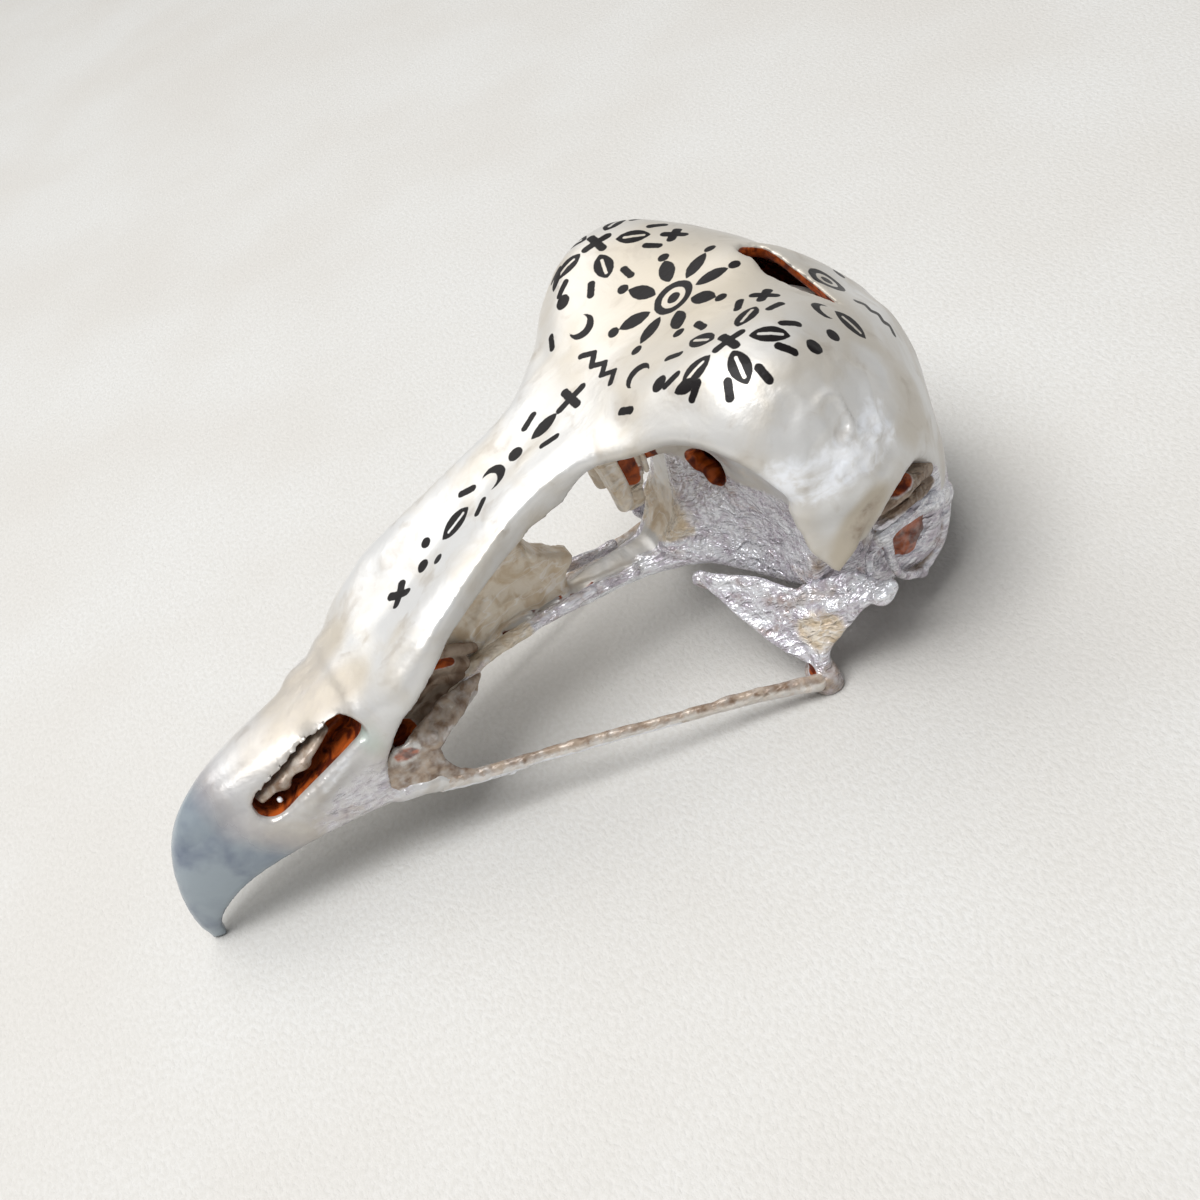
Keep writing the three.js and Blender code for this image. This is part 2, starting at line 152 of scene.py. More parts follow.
@dataclass(frozen=True)
class Ball(Shape):
    """An ellipsoid.

    Args:
        middle: its centre.
        radii: its half-lengths along back, side and height.
        sign: 1 for the left side and -1 for the right.
    """

    middle: Triple
    radii: Triple
    sign: float = 1.0

    def _centre(self) -> np.ndarray:
        """The centre, on the side asked for."""
        return np.array(self.middle) * (1, self.sign, 1)

    def reach(self) -> tuple[np.ndarray, np.ndarray]:
        """Lowest and highest corner of the ellipsoid's box."""
        size = np.array(self.radii)
        return self._centre() - size, self._centre() + size

    def distance(self, points: np.ndarray) -> np.ndarray:
        """Distance from the ellipsoid, close to true near its surface."""
        size = np.array(self.radii)
        scaled = (points - self._centre()) / size
        length = np.linalg.norm(scaled, axis=1)
        slope = np.linalg.norm(scaled / size, axis=1)
        return length * (length - 1) / np.maximum(slope, 1e-6)


@dataclass(frozen=True)
class Rod(Shape):
    """A tapered bar of oval section along a smooth route.

    Args:
        route: points along the middle of the bar.
        across: half-widths at those points.
        up: half-heights at those points.
        sign: 1 for the left side and -1 for the right.
        links: straight lengths that the route is divided into.
    """

    route: tuple[Triple, ...]
    across: tuple[float, ...]
    up: tuple[float, ...]
    sign: float = 1.0
    links: int = 16

    def _spine(self) -> tuple[np.ndarray, np.ndarray, np.ndarray]:
        """Points along the route, with the half-width and half-height at each."""
        places = np.linspace(0, 1, self.links + 1)
        spine = smooth_curve(np.array(self.route) * (1, self.sign, 1), places)
        knots = np.linspace(0, 1, len(self.route))
        return spine, np.interp(places, knots, self.across), np.interp(places, knots, self.up)

    def reach(self) -> tuple[np.ndarray, np.ndarray]:
        """Lowest and highest corner of the bar's box."""
        spine, across, up = self._spine()
        size = max(across.max(), up.max())
        return spine.min(0) - size, spine.max(0) + size

    def distance(self, points: np.ndarray) -> np.ndarray:
        """Least distance from any length of the bar."""
        spine, across, up = self._spine()
        nearest = np.full(len(points), FAR, np.float32)
        for link in range(self.links):
            a, b = spine[link], spine[link + 1]
            margin = max(across[link : link + 2].max(), up[link : link + 2].max()) + 1.6
            low, high = np.minimum(a, b) - margin, np.maximum(a, b) + margin
            near = np.all((points > low) & (points < high), axis=1)
            if not near.any():
                continue
            some = points[near]
            along = (b - a) / np.linalg.norm(b - a)
            aside = np.cross((0, 0, 1), along)
            aside /= max(np.linalg.norm(aside), 1e-6)
            above = np.cross(along, aside)
            run = (some - a) @ along
            part = np.clip(run / np.linalg.norm(b - a), 0, 1)
            wide = across[link] * (1 - part) + across[link + 1] * part
            tall = up[link] * (1 - part) + up[link + 1] * part
            offset = some - a - (part * np.linalg.norm(b - a))[:, None] * along
            thin = np.minimum(wide, tall)
            scaled = np.sqrt(
                (offset @ aside / wide) ** 2 + (offset @ above / tall) ** 2 + (offset @ along / thin) ** 2
            )
            nearest[near] = np.minimum(nearest[near], (scaled - 1) * thin)
        return nearest


def outline_distance(flat: np.ndarray, outline: np.ndarray) -> np.ndarray:
    """Signed distance of flat points from a closed outline, below nothing inside it."""
    nearest = np.full(len(flat), 1e9)
    inside = np.zeros(len(flat), bool)
    for a, b in zip(outline, np.roll(outline, -1, axis=0)):
        edge = b - a
        part = np.clip((flat - a) @ edge / (edge @ edge), 0, 1)
        nearest = np.minimum(nearest, np.linalg.norm(flat - a - part[:, None] * edge, axis=1))
        crosses = (a[1] > flat[:, 1]) != (b[1] > flat[:, 1])
        rise = edge[1] if abs(edge[1]) > 1e-9 else 1e-9
        inside ^= crosses & (flat[:, 0] < a[0] + (flat[:, 1] - a[1]) * edge[0] / rise)
    return np.where(inside, -nearest, nearest)


@dataclass(frozen=True)
class Slot(Shape):
    """A flat outline pushed straight through.

    Args:
        outline: corners as pairs, of back and height, or of back and side where it is cut from above.
        start: where it begins, along side or height.
        end: where it ends.
        from_above: whether it is cut from above and not from the side.
    """

    outline: tuple[Pair, ...]
    start: float
    end: float
    from_above: bool = False

    def reach(self) -> tuple[np.ndarray, np.ndarray]:
        """Lowest and highest corner of the slot's box."""
        corners = np.array(self.outline)
        low, high = corners.min(0), corners.max(0)
        if self.from_above:
            return np.array([*low, self.start]), np.array([*high, self.end])
        return np.array([low[0], self.start, low[1]]), np.array([high[0], self.end, high[1]])

    def distance(self, points: np.ndarray) -> np.ndarray:
        """Distance from the outline, or from the ends where those are nearer."""
        flat = points[:, :2] if self.from_above else points[:, ::2]
        depth = points[:, 2] if self.from_above else points[:, 1]
        ends = np.maximum(self.start - depth, depth - self.end)
        return np.maximum(outline_distance(flat, np.array(self.outline)), ends)


@dataclass(frozen=True)
class Plate(Shape):
    """A flat plate with straight edges.

    Args:
        corners: its corners, all close to the plane of the first, second and last but one.
        thick: half its thickness.
        sign: 1 for the left side and -1 for the right.
    """

    corners: tuple[Triple, ...]
    thick: float
    sign: float = 1.0

    def reach(self) -> tuple[np.ndarray, np.ndarray]:
        """Lowest and highest corner of the plate's box."""
        places = np.array(self.corners) * (1, self.sign, 1)
        return places.min(0) - self.thick, places.max(0) + self.thick

    def distance(self, points: np.ndarray) -> np.ndarray:
        """Distance from the plate, with rounded edges."""
        places = np.array(self.corners) * (1, self.sign, 1)
        centre = places.mean(0)
        first, second, normal = np.linalg.svd(places - centre)[2]
        flat = np.stack([(points - centre) @ first, (points - centre) @ second], axis=1)
        outline = np.stack([(places - centre) @ first, (places - centre) @ second], axis=1)
        beside = np.maximum(outline_distance(flat, outline) + self.thick * 0.6, 0)
        return np.hypot(beside, (points - centre) @ normal) - self.thick


@dataclass(frozen=True)
class BillStation:
    """One slanted ring of the bill.

    Args:
        ridge: back and height of its top.
        edge: back and height of the cutting edge.
        half: half its width.
        boxy: how square its corners are, where 2 is an oval.
    """

    ridge: Pair
    edge: Pair
    half: float
    boxy: float


class BillShape(Shape):
    """The hooked bill as one solid, filled through the nostrils."""

    EDGE_LIFT = 0.12
    STATIONS = (
        BillStation((0.15, 0.0), (1.15, 0.0), 0.35, 2.0),
        BillStation((-0.15, 1.6), (1.3, 1.0), 0.85, 2.0),
        BillStation((0.1, 4.3), (2.1, 2.4), 1.45, 2.1),
        BillStation((1.1, 7.5), (3.6, 3.6), 2.15, 2.2),
        BillStation((2.9, 10.1), (5.6, 4.5), 2.8, 2.3),
        BillStation((5.6, 11.9), (8.2, 5.0), 3.5, 2.4),
        BillStation((9.2, 13.0), (11.0, 5.3), 4.2, 2.6),
        BillStation((13.2, 13.7), (14.0, 5.4), 4.8, 2.8),
        BillStation((17.2, 14.5), (17.2, 5.2), 5.4, 2.9),
        BillStation((19.8, 15.2), (19.7, 5.0), 5.9, 2.9),
    )
    SAMPLES = 260
    CELL = 0.25
    LOW = np.array([-1.5, -1.5])
    HIGH = np.array([24.0, 18.0])

    def __init__(self) -> None:
        """Works out, over the side view, which ring runs through each place."""
        stations = self.STATIONS
        self.places = np.linspace(0, 1, self.SAMPLES)
        self.ridge = smooth_curve(np.array([s.ridge for s in stations]), self.places)
        self.edge = smooth_curve(np.array([s.edge for s in stations]), self.places)
        knots = np.linspace(0, 1, len(stations))
        self.half = np.interp(self.places, knots, [s.half for s in stations])
        self.boxy = np.interp(self.places, knots, [s.boxy for s in stations])
        counts = np.ceil((self.HIGH - self.LOW) / self.CELL).astype(int) + 1
        backs = self.LOW[0] + np.arange(counts[0]) * self.CELL
        heights = self.LOW[1] + np.arange(counts[1]) * self.CELL
        cells = np.stack(np.meshgrid(backs, heights, indexing="ij"), axis=-1).reshape(-1, 1, 2)
        span = self.ridge - self.edge
        part = np.sum((cells - self.edge) * span, axis=2) / np.sum(span * span, axis=1)
        foot = self.edge + np.clip(part, -0.2, 1.2)[:, :, None] * span
        nearest = np.argmin(np.sum((cells - foot) ** 2, axis=2), axis=1)
        self.table = self.places[nearest].reshape(counts)

    def reach(self) -> tuple[np.ndarray, np.ndarray]:
        """Lowest and highest corner of the bill's box."""
        widest = self.half.max()
        return np.array([-0.6, -widest, 0.0]), np.array([20.4, widest, 15.8])

    def distance(self, points: np.ndarray) -> np.ndarray:
        """Distance along the rays from each ring's own axis."""
        at = (points[:, ::2] - self.LOW) / self.CELL
        base = np.clip(at.astype(int), 0, np.array(self.table.shape) - 2)
        part = np.clip(at - base, 0, 1)
        i, j = base.T
        u, v = part.T
        turn = (
            self.table[i, j] * (1 - u) * (1 - v)
            + self.table[i + 1, j] * u * (1 - v)
            + self.table[i, j + 1] * (1 - u) * v
            + self.table[i + 1, j + 1] * u * v
        )
        ridge = np.stack([np.interp(turn, self.places, self.ridge[:, k]) for k in (0, 1)], axis=1)
        edge = np.stack([np.interp(turn, self.places, self.edge[:, k]) for k in (0, 1)], axis=1)
        half = np.interp(turn, self.places, self.half)
        boxy = np.interp(turn, self.places, self.boxy)
        span = ridge - edge
        length = np.linalg.norm(span, axis=1)
        lift = np.sum((points[:, ::2] - edge) * span, axis=1) / length**2
        across = (points[:, 0] - edge[:, 0]) * span[:, 1] - (points[:, 2] - edge[:, 1]) * span[:, 0]
        past = across / length
        side = np.abs(points[:, 1])
        above = np.clip((lift - self.EDGE_LIFT) / (1 - self.EDGE_LIFT), 0, None)
        below = np.clip((self.EDGE_LIFT - lift) / self.EDGE_LIFT, 0, None)
        swing = (side / half) ** boxy
        rho = np.where(
            lift > self.EDGE_LIFT,
            (above**boxy + swing) ** (1 / boxy),
            (below**2.4 + swing) ** (1 / 2.5),
        )
        rho = np.maximum(rho, 1e-4)
        from_axis = np.hypot(side, (lift - self.EDGE_LIFT) * length)
        around = from_axis * (1 - 1 / rho)
        return np.where(turn > 0.999, np.maximum(around, past), around)


@dataclass(frozen=True)
class CraniumStation:
    """One upright ring of the cranium, its points as half-width and height.

    Args:
        back: its distance behind the tip of the bill.
        crown: height of the roof on the midline.
        swelling: top of the swelling beside the midline.
        side: the rim of the orbit or the side wall.
        base: outer edge of the underside.
        keel: height of the underside on the midline.
    """

    back: float
    crown: float
    swelling: Pair
    side: Pair
    base: Pair
    keel: float


class CraniumShape(Shape):
    """The head behind the bill as one solid, before any opening is cut."""

    STATIONS = (
        CraniumStation(17.5, 14.4, (3.2, 14.2), (5.0, 12.2), (2.4, 9.6), 8.6),
        CraniumStation(20.5, 15.5, (4.2, 15.8), (6.2, 14.2), (2.2, 10.2), 8.8),
        CraniumStation(24.0, 16.8, (4.6, 17.6), (6.4, 16.6), (2.0, 10.8), 8.8),
        CraniumStation(29.0, 19.0, (3.8, 19.4), (5.3, 18.8), (1.8, 11.0), 8.6),
        CraniumStation(33.0, 20.7, (3.2, 20.9), (4.8, 20.3), (1.8, 11.0), 8.3),
        CraniumStation(37.0, 21.8, (3.8, 22.0), (5.4, 21.2), (2.4, 10.6), 8.0),
        CraniumStation(40.5, 22.9, (5.6, 23.0), (8.7, 21.9), (4.2, 10.0), 7.9),
        CraniumStation(43.0, 23.7, (8.4, 24.6), (12.4, 21.2), (6.4, 9.0), 7.3),
        CraniumStation(45.2, 24.3, (10.6, 25.8), (15.2, 18.2), (8.6, 7.6), 6.6),
        CraniumStation(48.0, 25.0, (11.8, 26.3), (16.4, 16.4), (10.0, 6.0), 5.6),
        CraniumStation(51.0, 25.8, (11.6, 26.0), (16.6, 15.8), (10.6, 4.4), 4.4),
        CraniumStation(54.0, 26.0, (9.6, 24.6), (15.4, 14.6), (10.4, 3.6), 4.0),
        CraniumStation(57.0, 24.2, (8.4, 22.2), (13.0, 13.0), (9.6, 3.2), 3.9),
        CraniumStation(59.4, 21.6, (6.6, 19.8), (9.6, 11.6), (7.6, 3.6), 4.3),
        CraniumStation(61.4, 18.7, (3.8, 17.6), (5.4, 11.2), (4.6, 5.2), 5.2),
        CraniumStation(63.0, 14.8, (1.6, 14.2), (2.2, 11.2), (1.8, 7.6), 7.2),
    )
    LENGTHS = 184
    TURNS = 121
    ROUNDED = 0.7

    def __init__(self) -> None:
        """Tabulates how far the surface lies from the ring's middle, over length and turn."""
        stations = self.STATIONS
        backs = [s.back for s in stations]
        rows = np.array([(s.crown, *s.swelling, *s.side, *s.base, s.keel) for s in stations])
        self.backs = np.linspace(backs[0], backs[-1], self.LENGTHS)
        numbers = np.stack([self._through(backs, rows[:, k]) for k in range(rows.shape[1])], axis=1)
        self.middles = (numbers[:, 0] + numbers[:, -1]) / 2
        self.turns = np.linspace(0, math.pi, self.TURNS)
        self.radii = np.stack([self._ring(row, middle) for row, middle in zip(numbers, self.middles)])
        closing = np.clip((self.backs - backs[-1] + self.ROUNDED) / self.ROUNDED, 0, 0.995)
        self.radii *= np.sqrt(1 - closing[:, None] ** 2)
        lengthways, around = np.gradient(self.radii, self.backs, self.turns)
        slope = np.sqrt(1 + lengthways**2 + (around / self.radii) ** 2)
        self.scale = np.clip(1 / slope, 0.3, 1)

    def _through(self, backs: list[float], values: np.ndarray) -> np.ndarray:
        """Catmull-Rom values over the table's lengths, from the values at the stations."""
        index = np.clip(np.searchsorted(backs, self.backs, side="right") - 1, 0, len(backs) - 2)
        last = len(backs) - 1
        a, b, c, d = (values[np.clip(index + step, 0, last)] for step in (-1, 0, 1, 2))
        start, end = np.array(backs)[index], np.array(backs)[index + 1]
        t = (self.backs - start) / (end - start)
        return 0.5 * (
            2 * b + (c - a) * t + (2 * a - 5 * b + 4 * c - d) * t**2 + (3 * b - a - 3 * c + d) * t**3
        )

    def _ring(self, numbers: np.ndarray, middle: float) -> np.ndarray:
        """Radius at each turn of one ring."""
        crown, wide, high, side, side_high, base, base_high, keel = numbers
        half = [
            (wide * 0.45, crown * 0.5 + high * 0.5),
            (wide, high),
            (side * 0.72 + wide * 0.28 + 0.4, side_high * 0.4 + high * 0.6),
            (side, side_high),
            (side * 0.62 + base * 0.38, side_high * 0.45 + base_high * 0.55),
            (base, base_high),
        ]
        loop = np.array([(0, crown), *half, (0, keel), *[(-y, z) for y, z in reversed(half)]])
        ring = smooth_curve(loop, np.linspace(0, 1, 240), closed=True)
        ring = ring[ring[:, 0] >= -1e-6]
        turn = np.arctan2(np.maximum(ring[:, 0], 0), ring[:, 1] - middle)
        order = np.argsort(turn)
        reach = np.hypot(ring[:, 0], ring[:, 1] - middle)
        return np.interp(self.turns, turn[order], reach[order])

    def reach(self) -> tuple[np.ndarray, np.ndarray]:
        """Lowest and highest corner of the cranium's box."""
        return np.array([17.5, -17.2, 3.0]), np.array([63.2, 17.2, 26.9])

    def distance(self, points: np.ndarray) -> np.ndarray:
        """Distance from the ring through each point, made shorter where the surface slants."""
        length = (points[:, 0] - self.backs[0]) / (self.backs[1] - self.backs[0])
        i = np.clip(length.astype(int), 0, self.LENGTHS - 2)
        u = np.clip(length - i, 0, 1)
        middle = self.middles[i] * (1 - u) + self.middles[i + 1] * u
        rise = points[:, 2] - middle
        side = np.abs(points[:, 1])
        turn = np.arctan2(side, rise) / (self.turns[1] - self.turns[0])
        j = np.clip(turn.astype(int), 0, self.TURNS - 2)
        v = turn - j
        radius, scale = (
            table[i, j] * (1 - u) * (1 - v)
            + table[i + 1, j] * u * (1 - v)
            + table[i, j + 1] * (1 - u) * v
            + table[i + 1, j + 1] * u * v
            for table in (self.radii, self.scale)
        )
        around = (np.hypot(side, rise) - radius) * scale
        ends = np.maximum(self.backs[0] - points[:, 0], points[:, 0] - self.backs[-1])
        return np.maximum(around, ends)


@dataclass(frozen=True)
class Carved(Shape):
    """One solid with others taken out of it, and kept within a span of its length.

    Args:
        whole: the solid that is cut.
        cuts: what is taken out, each with how much larger it is cut.
        inset: how far inside its surface the solid is taken.
        span: distances back between which it is kept.
    """

    whole: Shape
    cuts: tuple[tuple[Shape, float], ...]
    inset: float
    span: Pair

    def reach(self) -> tuple[np.ndarray, np.ndarray]:
        """The whole solid's box, cut to the span."""
        low, high = self.whole.reach()
        return np.array([self.span[0], *low[1:]]), np.array([self.span[1], *high[1:]])

    def distance(self, points: np.ndarray) -> np.ndarray:
        """Distance from what is left."""
        value = self.whole.distance(points) + self.inset
        value = np.maximum(value, np.maximum(self.span[0] - points[:, 0], points[:, 0] - self.span[1]))
        for cut, margin in self.cuts:
            value = np.maximum(value, margin - cut.distance(points))
        return value


@dataclass(frozen=True)
class Joined(Shape):
    """Several solids taken as one, with the hollows between them filled by a blend."""

    parts: tuple[Shape, ...]
    blend: float = 0.4

    def reach(self) -> tuple[np.ndarray, np.ndarray]:
        """The box round all the parts."""
        lows, highs = zip(*(part.reach() for part in self.parts))
        return np.min(lows, axis=0), np.max(highs, axis=0)

    def distance(self, points: np.ndarray) -> np.ndarray:
        """Least distance, made smooth where two are alike."""
        value = self.parts[0].distance(points)
        for part in self.parts[1:]:
            value = soft_least(value, part.distance(points), self.blend)
        return value


def soft_least(a: np.ndarray, b: np.ndarray, blend: float) -> np.ndarray:
    """The lesser of two distances, rounded over a width of blend where they are alike."""
    near = np.clip(blend - np.abs(a - b), 0, None) / blend
    return np.minimum(a, b) - near * near * blend / 4


class Volume:
    """A block of space in which solids are joined and carved, and turned into a mesh."""

    def __init__(self, low: np.ndarray, high: np.ndarray, pitch: float) -> None:
        """Starts empty between two corners, with a sample every pitch millimetres."""
        self.low = np.array(low, float)
        self.pitch = pitch
        counts = np.ceil((np.array(high) - self.low) / pitch).astype(int) + 1
        self.values = np.full(counts, FAR, np.float32)

    def _window(self, shape: Shape, margin: float) -> tuple[slice, slice, slice]:
        """The samples within a margin of the shape's box."""
        low, high = shape.reach()
        start = np.clip(((low - margin - self.low) / self.pitch).astype(int), 0, None)
        last = np.ceil((high + margin - self.low) / self.pitch).astype(int) + 1
        end = np.clip(last, 0, self.values.shape)
        return tuple(slice(a, b) for a, b in zip(start, end))

    def _measure(self, shape: Shape, window: tuple[slice, slice, slice]) -> np.ndarray:
        """The shape's distances at the samples of a window."""
        axes = [self.low[k] + np.arange(window[k].start, window[k].stop) * self.pitch for k in range(3)]
        points = np.stack(np.meshgrid(*axes, indexing="ij"), axis=-1)
        return shape.distance(points.reshape(-1, 3)).reshape(points.shape[:3]).astype(np.float32)

    def join(self, shape: Shape, blend: float = 0.4) -> None:
        """Adds a shape, with a fillet about blend wide."""
        window = self._window(shape, blend + 1.0)
        self.values[window] = soft_least(self.values[window], self._measure(shape, window), blend)

    def carve(self, shape: Shape, blend: float = 0.4) -> None:
        """Takes a shape out, with its rims rounded over about blend."""
        window = self._window(shape, blend + 1.0)
        self.values[window] = -soft_least(-self.values[window], self._measure(shape, window), blend)

    def floor(self) -> None:
        """Cuts everything off below the floor."""
        heights = self.low[2] + np.arange(self.values.shape[2]) * self.pitch
        self.values = np.maximum(self.values, -heights[None, None, :].astype(np.float32))

    def surface(self) -> tuple[np.ndarray, np.ndarray]:
        """Turns the solid into a skin of triangles.

        Returns:
            The skin's points, and three indices for each triangle.
        """
        values = self.values
        inside = values < 0
        cells = tuple(n - 1 for n in values.shape)
        filled = np.zeros(cells, np.int8)
        for i, j, k in np.ndindex(2, 2, 2):
            filled += inside[i : cells[0] + i, j : cells[1] + j, k : cells[2] + k]
        mixed = (filled > 0) & (filled < 8)
        where = np.argwhere(mixed)
        number = np.full(cells, -1, np.int64)
        number[mixed] = np.arange(len(where))
        total = np.zeros((len(where), 3))
        hits = np.zeros(len(where))
        corners = [np.array(c) for c in np.ndindex(2, 2, 2)]
        edges = [(a, b) for a in corners for b in corners if (b - a).sum() == 1 and np.all(b >= a)]
        for a, b in edges:
            va = values[tuple((where + a).T)]
            vb = values[tuple((where + b).T)]
            cut = (va < 0) != (vb < 0)
            part = va[cut] / (va[cut] - vb[cut])
            total[cut] += a + part[:, None] * (b - a)
            hits[cut] += 1
        points = (where + total / hits[:, None]) * self.pitch + self.low
        quads = []
        for axis in range(3):
            first = [slice(1, -1)] * 3
            second = [slice(1, -1)] * 3
            first[axis], second[axis] = slice(0, -1), slice(1, None)
            before, after = inside[tuple(first)], inside[tuple(second)]
            offset = np.ones(3, int)
            offset[axis] = 0
            b_axis, c_axis = [np.eye(3, dtype=int)[k] for k in ((axis + 1) % 3, (axis + 2) % 3)]
            for starts, reverse in ((before & ~after, False), (~before & after, True)):
                at = np.argwhere(starts) + offset
                steps = ((0, 0), (1, 0), (1, 1), (0, 1))
                ring = [number[tuple((at - s * b_axis - t * c_axis).T)] for s, t in steps]
                quads.append(np.stack(ring[::-1] if reverse else ring, axis=1))
        quads = np.vstack(quads)
        return points, np.vstack([quads[:, (0, 1, 2)], quads[:, (0, 2, 3)]])


# ---- Skins --------------------------------------------------------------------------------------


class Skin:
    """A mesh of triangles in millimetres that is smoothed, roughened and turned into an object."""

    def __init__(self, points: np.ndarray, faces: np.ndarray) -> None:
        """Keeps the points and faces."""
        self.points = points
        self.faces = faces

    def edges(self) -> np.ndarray:
        """Every edge once, as two point numbers."""
        pairs = np.vstack([self.faces[:, ends] for ends in SIDES_OF_A_FACE])
        return np.unique(np.sort(pairs, axis=1), axis=0)

    def _mean(self, a: np.ndarray, b: np.ndarray, degree: np.ndarray) -> np.ndarray:
        """The middle of each point's neighbours, along the edges from a to b."""
        count = len(self.points)
        sums = [
            np.bincount(a, self.points[b, k], count) + np.bincount(b, self.points[a, k], count)
            for k in range(3)
        ]
        return np.stack(sums, axis=1) / degree[:, None]

    def smooth(self, rounds: int, floor: float | None = None) -> None:
        """Evens out the skin without shrinking it.

        Args:
            rounds: how many times it is relaxed and swelled back.
            floor: height of a flat that stays flat, if there is one.
        """
        a, b = self.edges().T
        count = len(self.points)
        degree = np.bincount(a, minlength=count) + np.bincount(b, minlength=count)
        held = self.points[:, 2] < floor if floor is not None else np.zeros(count, bool)
        for share in (0.5, -0.52) * rounds:
            moved = self.points + share * (self._mean(a, b, degree) - self.points)
            moved[held] = self.points[held]
            self.points = moved

    def relax(self, chosen: np.ndarray, rounds: int) -> None:
        """Evens out only the chosen points, over and over, with the others held."""
        pairs = self.edges()
        a, b = pairs[chosen[pairs].any(axis=1)].T
        count = len(self.points)
        degree = np.maximum(np.bincount(a, minlength=count) + np.bincount(b, minlength=count), 1)
        for share in (0.5, -0.5) * rounds:
            moved = self.points + share * (self._mean(a, b, degree) - self.points)
            self.points = np.where(chosen[:, None], moved, self.points)

    def normals(self) -> np.ndarray:
        """Outward direction at each point."""
        a, b, c = (self.points[self.faces[:, k]] for k in range(3))
        across = np.cross(b - a, c - a)
        total = np.stack(
            [
                sum(np.bincount(self.faces[:, n], across[:, k], len(self.points)) for n in range(3))
                for k in range(3)
            ],
            axis=1,
        )
        return total / np.maximum(np.linalg.norm(total, axis=1, keepdims=True), 1e-9)

    def push(self, amount: np.ndarray, floor: float = 0.3) -> None:
        """Moves each point outward by its amount, less and less near the floor."""
        near = step_up(self.points[:, 2], floor * 0.3, floor * 3)
        self.points = self.points + self.normals() * (amount * near)[:, None]

    def refine(self, chosen: np.ndarray) -> None:
        """Halves every edge of the chosen faces, and divides their neighbours to match."""
        pairs = np.sort(np.stack([self.faces[:, ends] for ends in SIDES_OF_A_FACE], axis=1), axis=2)
        keys = pairs[:, :, 0] * len(self.points) + pairs[:, :, 1]
        split = np.unique(keys[chosen])
        new = {"count": len(self.points)}
        ends = np.stack([split // new["count"], split % new["count"]], axis=1)
        middles = (self.points[ends[:, 0]] + self.points[ends[:, 1]]) / 2
        place = np.clip(np.searchsorted(split, keys), 0, len(split) - 1)
        marked = split[place] == keys
        mid = np.where(marked, place + new["count"], -1)
        made = [self.faces[marked.sum(1) == 0]]
        for turn in range(3):
            f = np.roll(self.faces, -turn, axis=1)
            m = np.roll(mid, -turn, axis=1)
            k = np.roll(marked, -turn, axis=1)
            one = k[:, 0] & ~k[:, 1] & ~k[:, 2]
            made += [
                np.stack([f[one, 0], m[one, 0], f[one, 2]], axis=1),
                np.stack([m[one, 0], f[one, 1], f[one, 2]], axis=1),
            ]
            two = k[:, 0] & k[:, 1] & ~k[:, 2]
            made += [
                np.stack([f[two, 0], m[two, 0], m[two, 1]], axis=1),
                np.stack([m[two, 0], f[two, 1], m[two, 1]], axis=1),
                np.stack([f[two, 0], m[two, 1], f[two, 2]], axis=1),
            ]
        full = marked.all(axis=1)
        f, m = self.faces[full], mid[full]
        made += [
            np.stack([f[:, 0], m[:, 0], m[:, 2]], axis=1),
            np.stack([m[:, 0], f[:, 1], m[:, 1]], axis=1),
            np.stack([m[:, 2], m[:, 1], f[:, 2]], axis=1),
            m,
        ]
        self.points = np.vstack([self.points, middles])
        self.faces = np.vstack(made)

    def piece(self, name: str, masks: dict[str, np.ndarray] | None = None) -> bpy.types.Object:
        """Makes the object.

        Args:
            name: the object's name.
            masks: values at each point that its finish reads, by name.

        Returns:
            The object, smooth-shaded, in metres and in the part's own frame.
        """
        points = np.column_stack([TIP_X - self.points[:, 0], self.points[:, 1], self.points[:, 2]]) * MM
        mesh = bpy.data.meshes.new(name)
        mesh.vertices.add(len(points))
        mesh.vertices.foreach_set("co", points.astype(np.float32).ravel())
        mesh.loops.add(len(self.faces) * 3)
        mesh.loops.foreach_set("vertex_index", self.faces[:, ::-1].astype(np.int32).ravel())
        mesh.polygons.add(len(self.faces))
        mesh.polygons.foreach_set("loop_start", np.arange(0, len(self.faces) * 3, 3, dtype=np.int32))
        mesh.polygons.foreach_set("use_smooth", np.ones(len(self.faces), bool))
        mesh.update(calc_edges=True)
        mesh.validate()
        for key, values in (masks or {}).items():
            attribute = mesh.attributes.new(key, "FLOAT", "POINT")
            attribute.data.foreach_set("value", values.astype(np.float32))
        piece = bpy.data.objects.new(name, mesh)
        bpy.context.scene.collection.objects.link(piece)
        return piece


def skin_of(volume: Volume, rounds: int = 2) -> Skin:
    """The volume's surface as a smoothed skin that faces outward in the part's frame."""
    points, faces = volume.surface()
    skin = Skin(points, faces)
    skin.smooth(rounds, floor=volume.pitch)
    return skin


# ---- Finishes -----------------------------------------------------------------------------------

Colour = tuple[float, float, float, float]


def shade(red: int, green: int, blue: int) -> Colour:
    """A colour as mixed on screen, from 0 to 255, turned into linear values."""
    values = [c / 255 for c in (red, green, blue)]
    linear = [c / 12.92 if c <= 0.04045 else ((c + 0.055) / 1.055) ** 2.4 for c in values]
    return (*linear, 1.0)


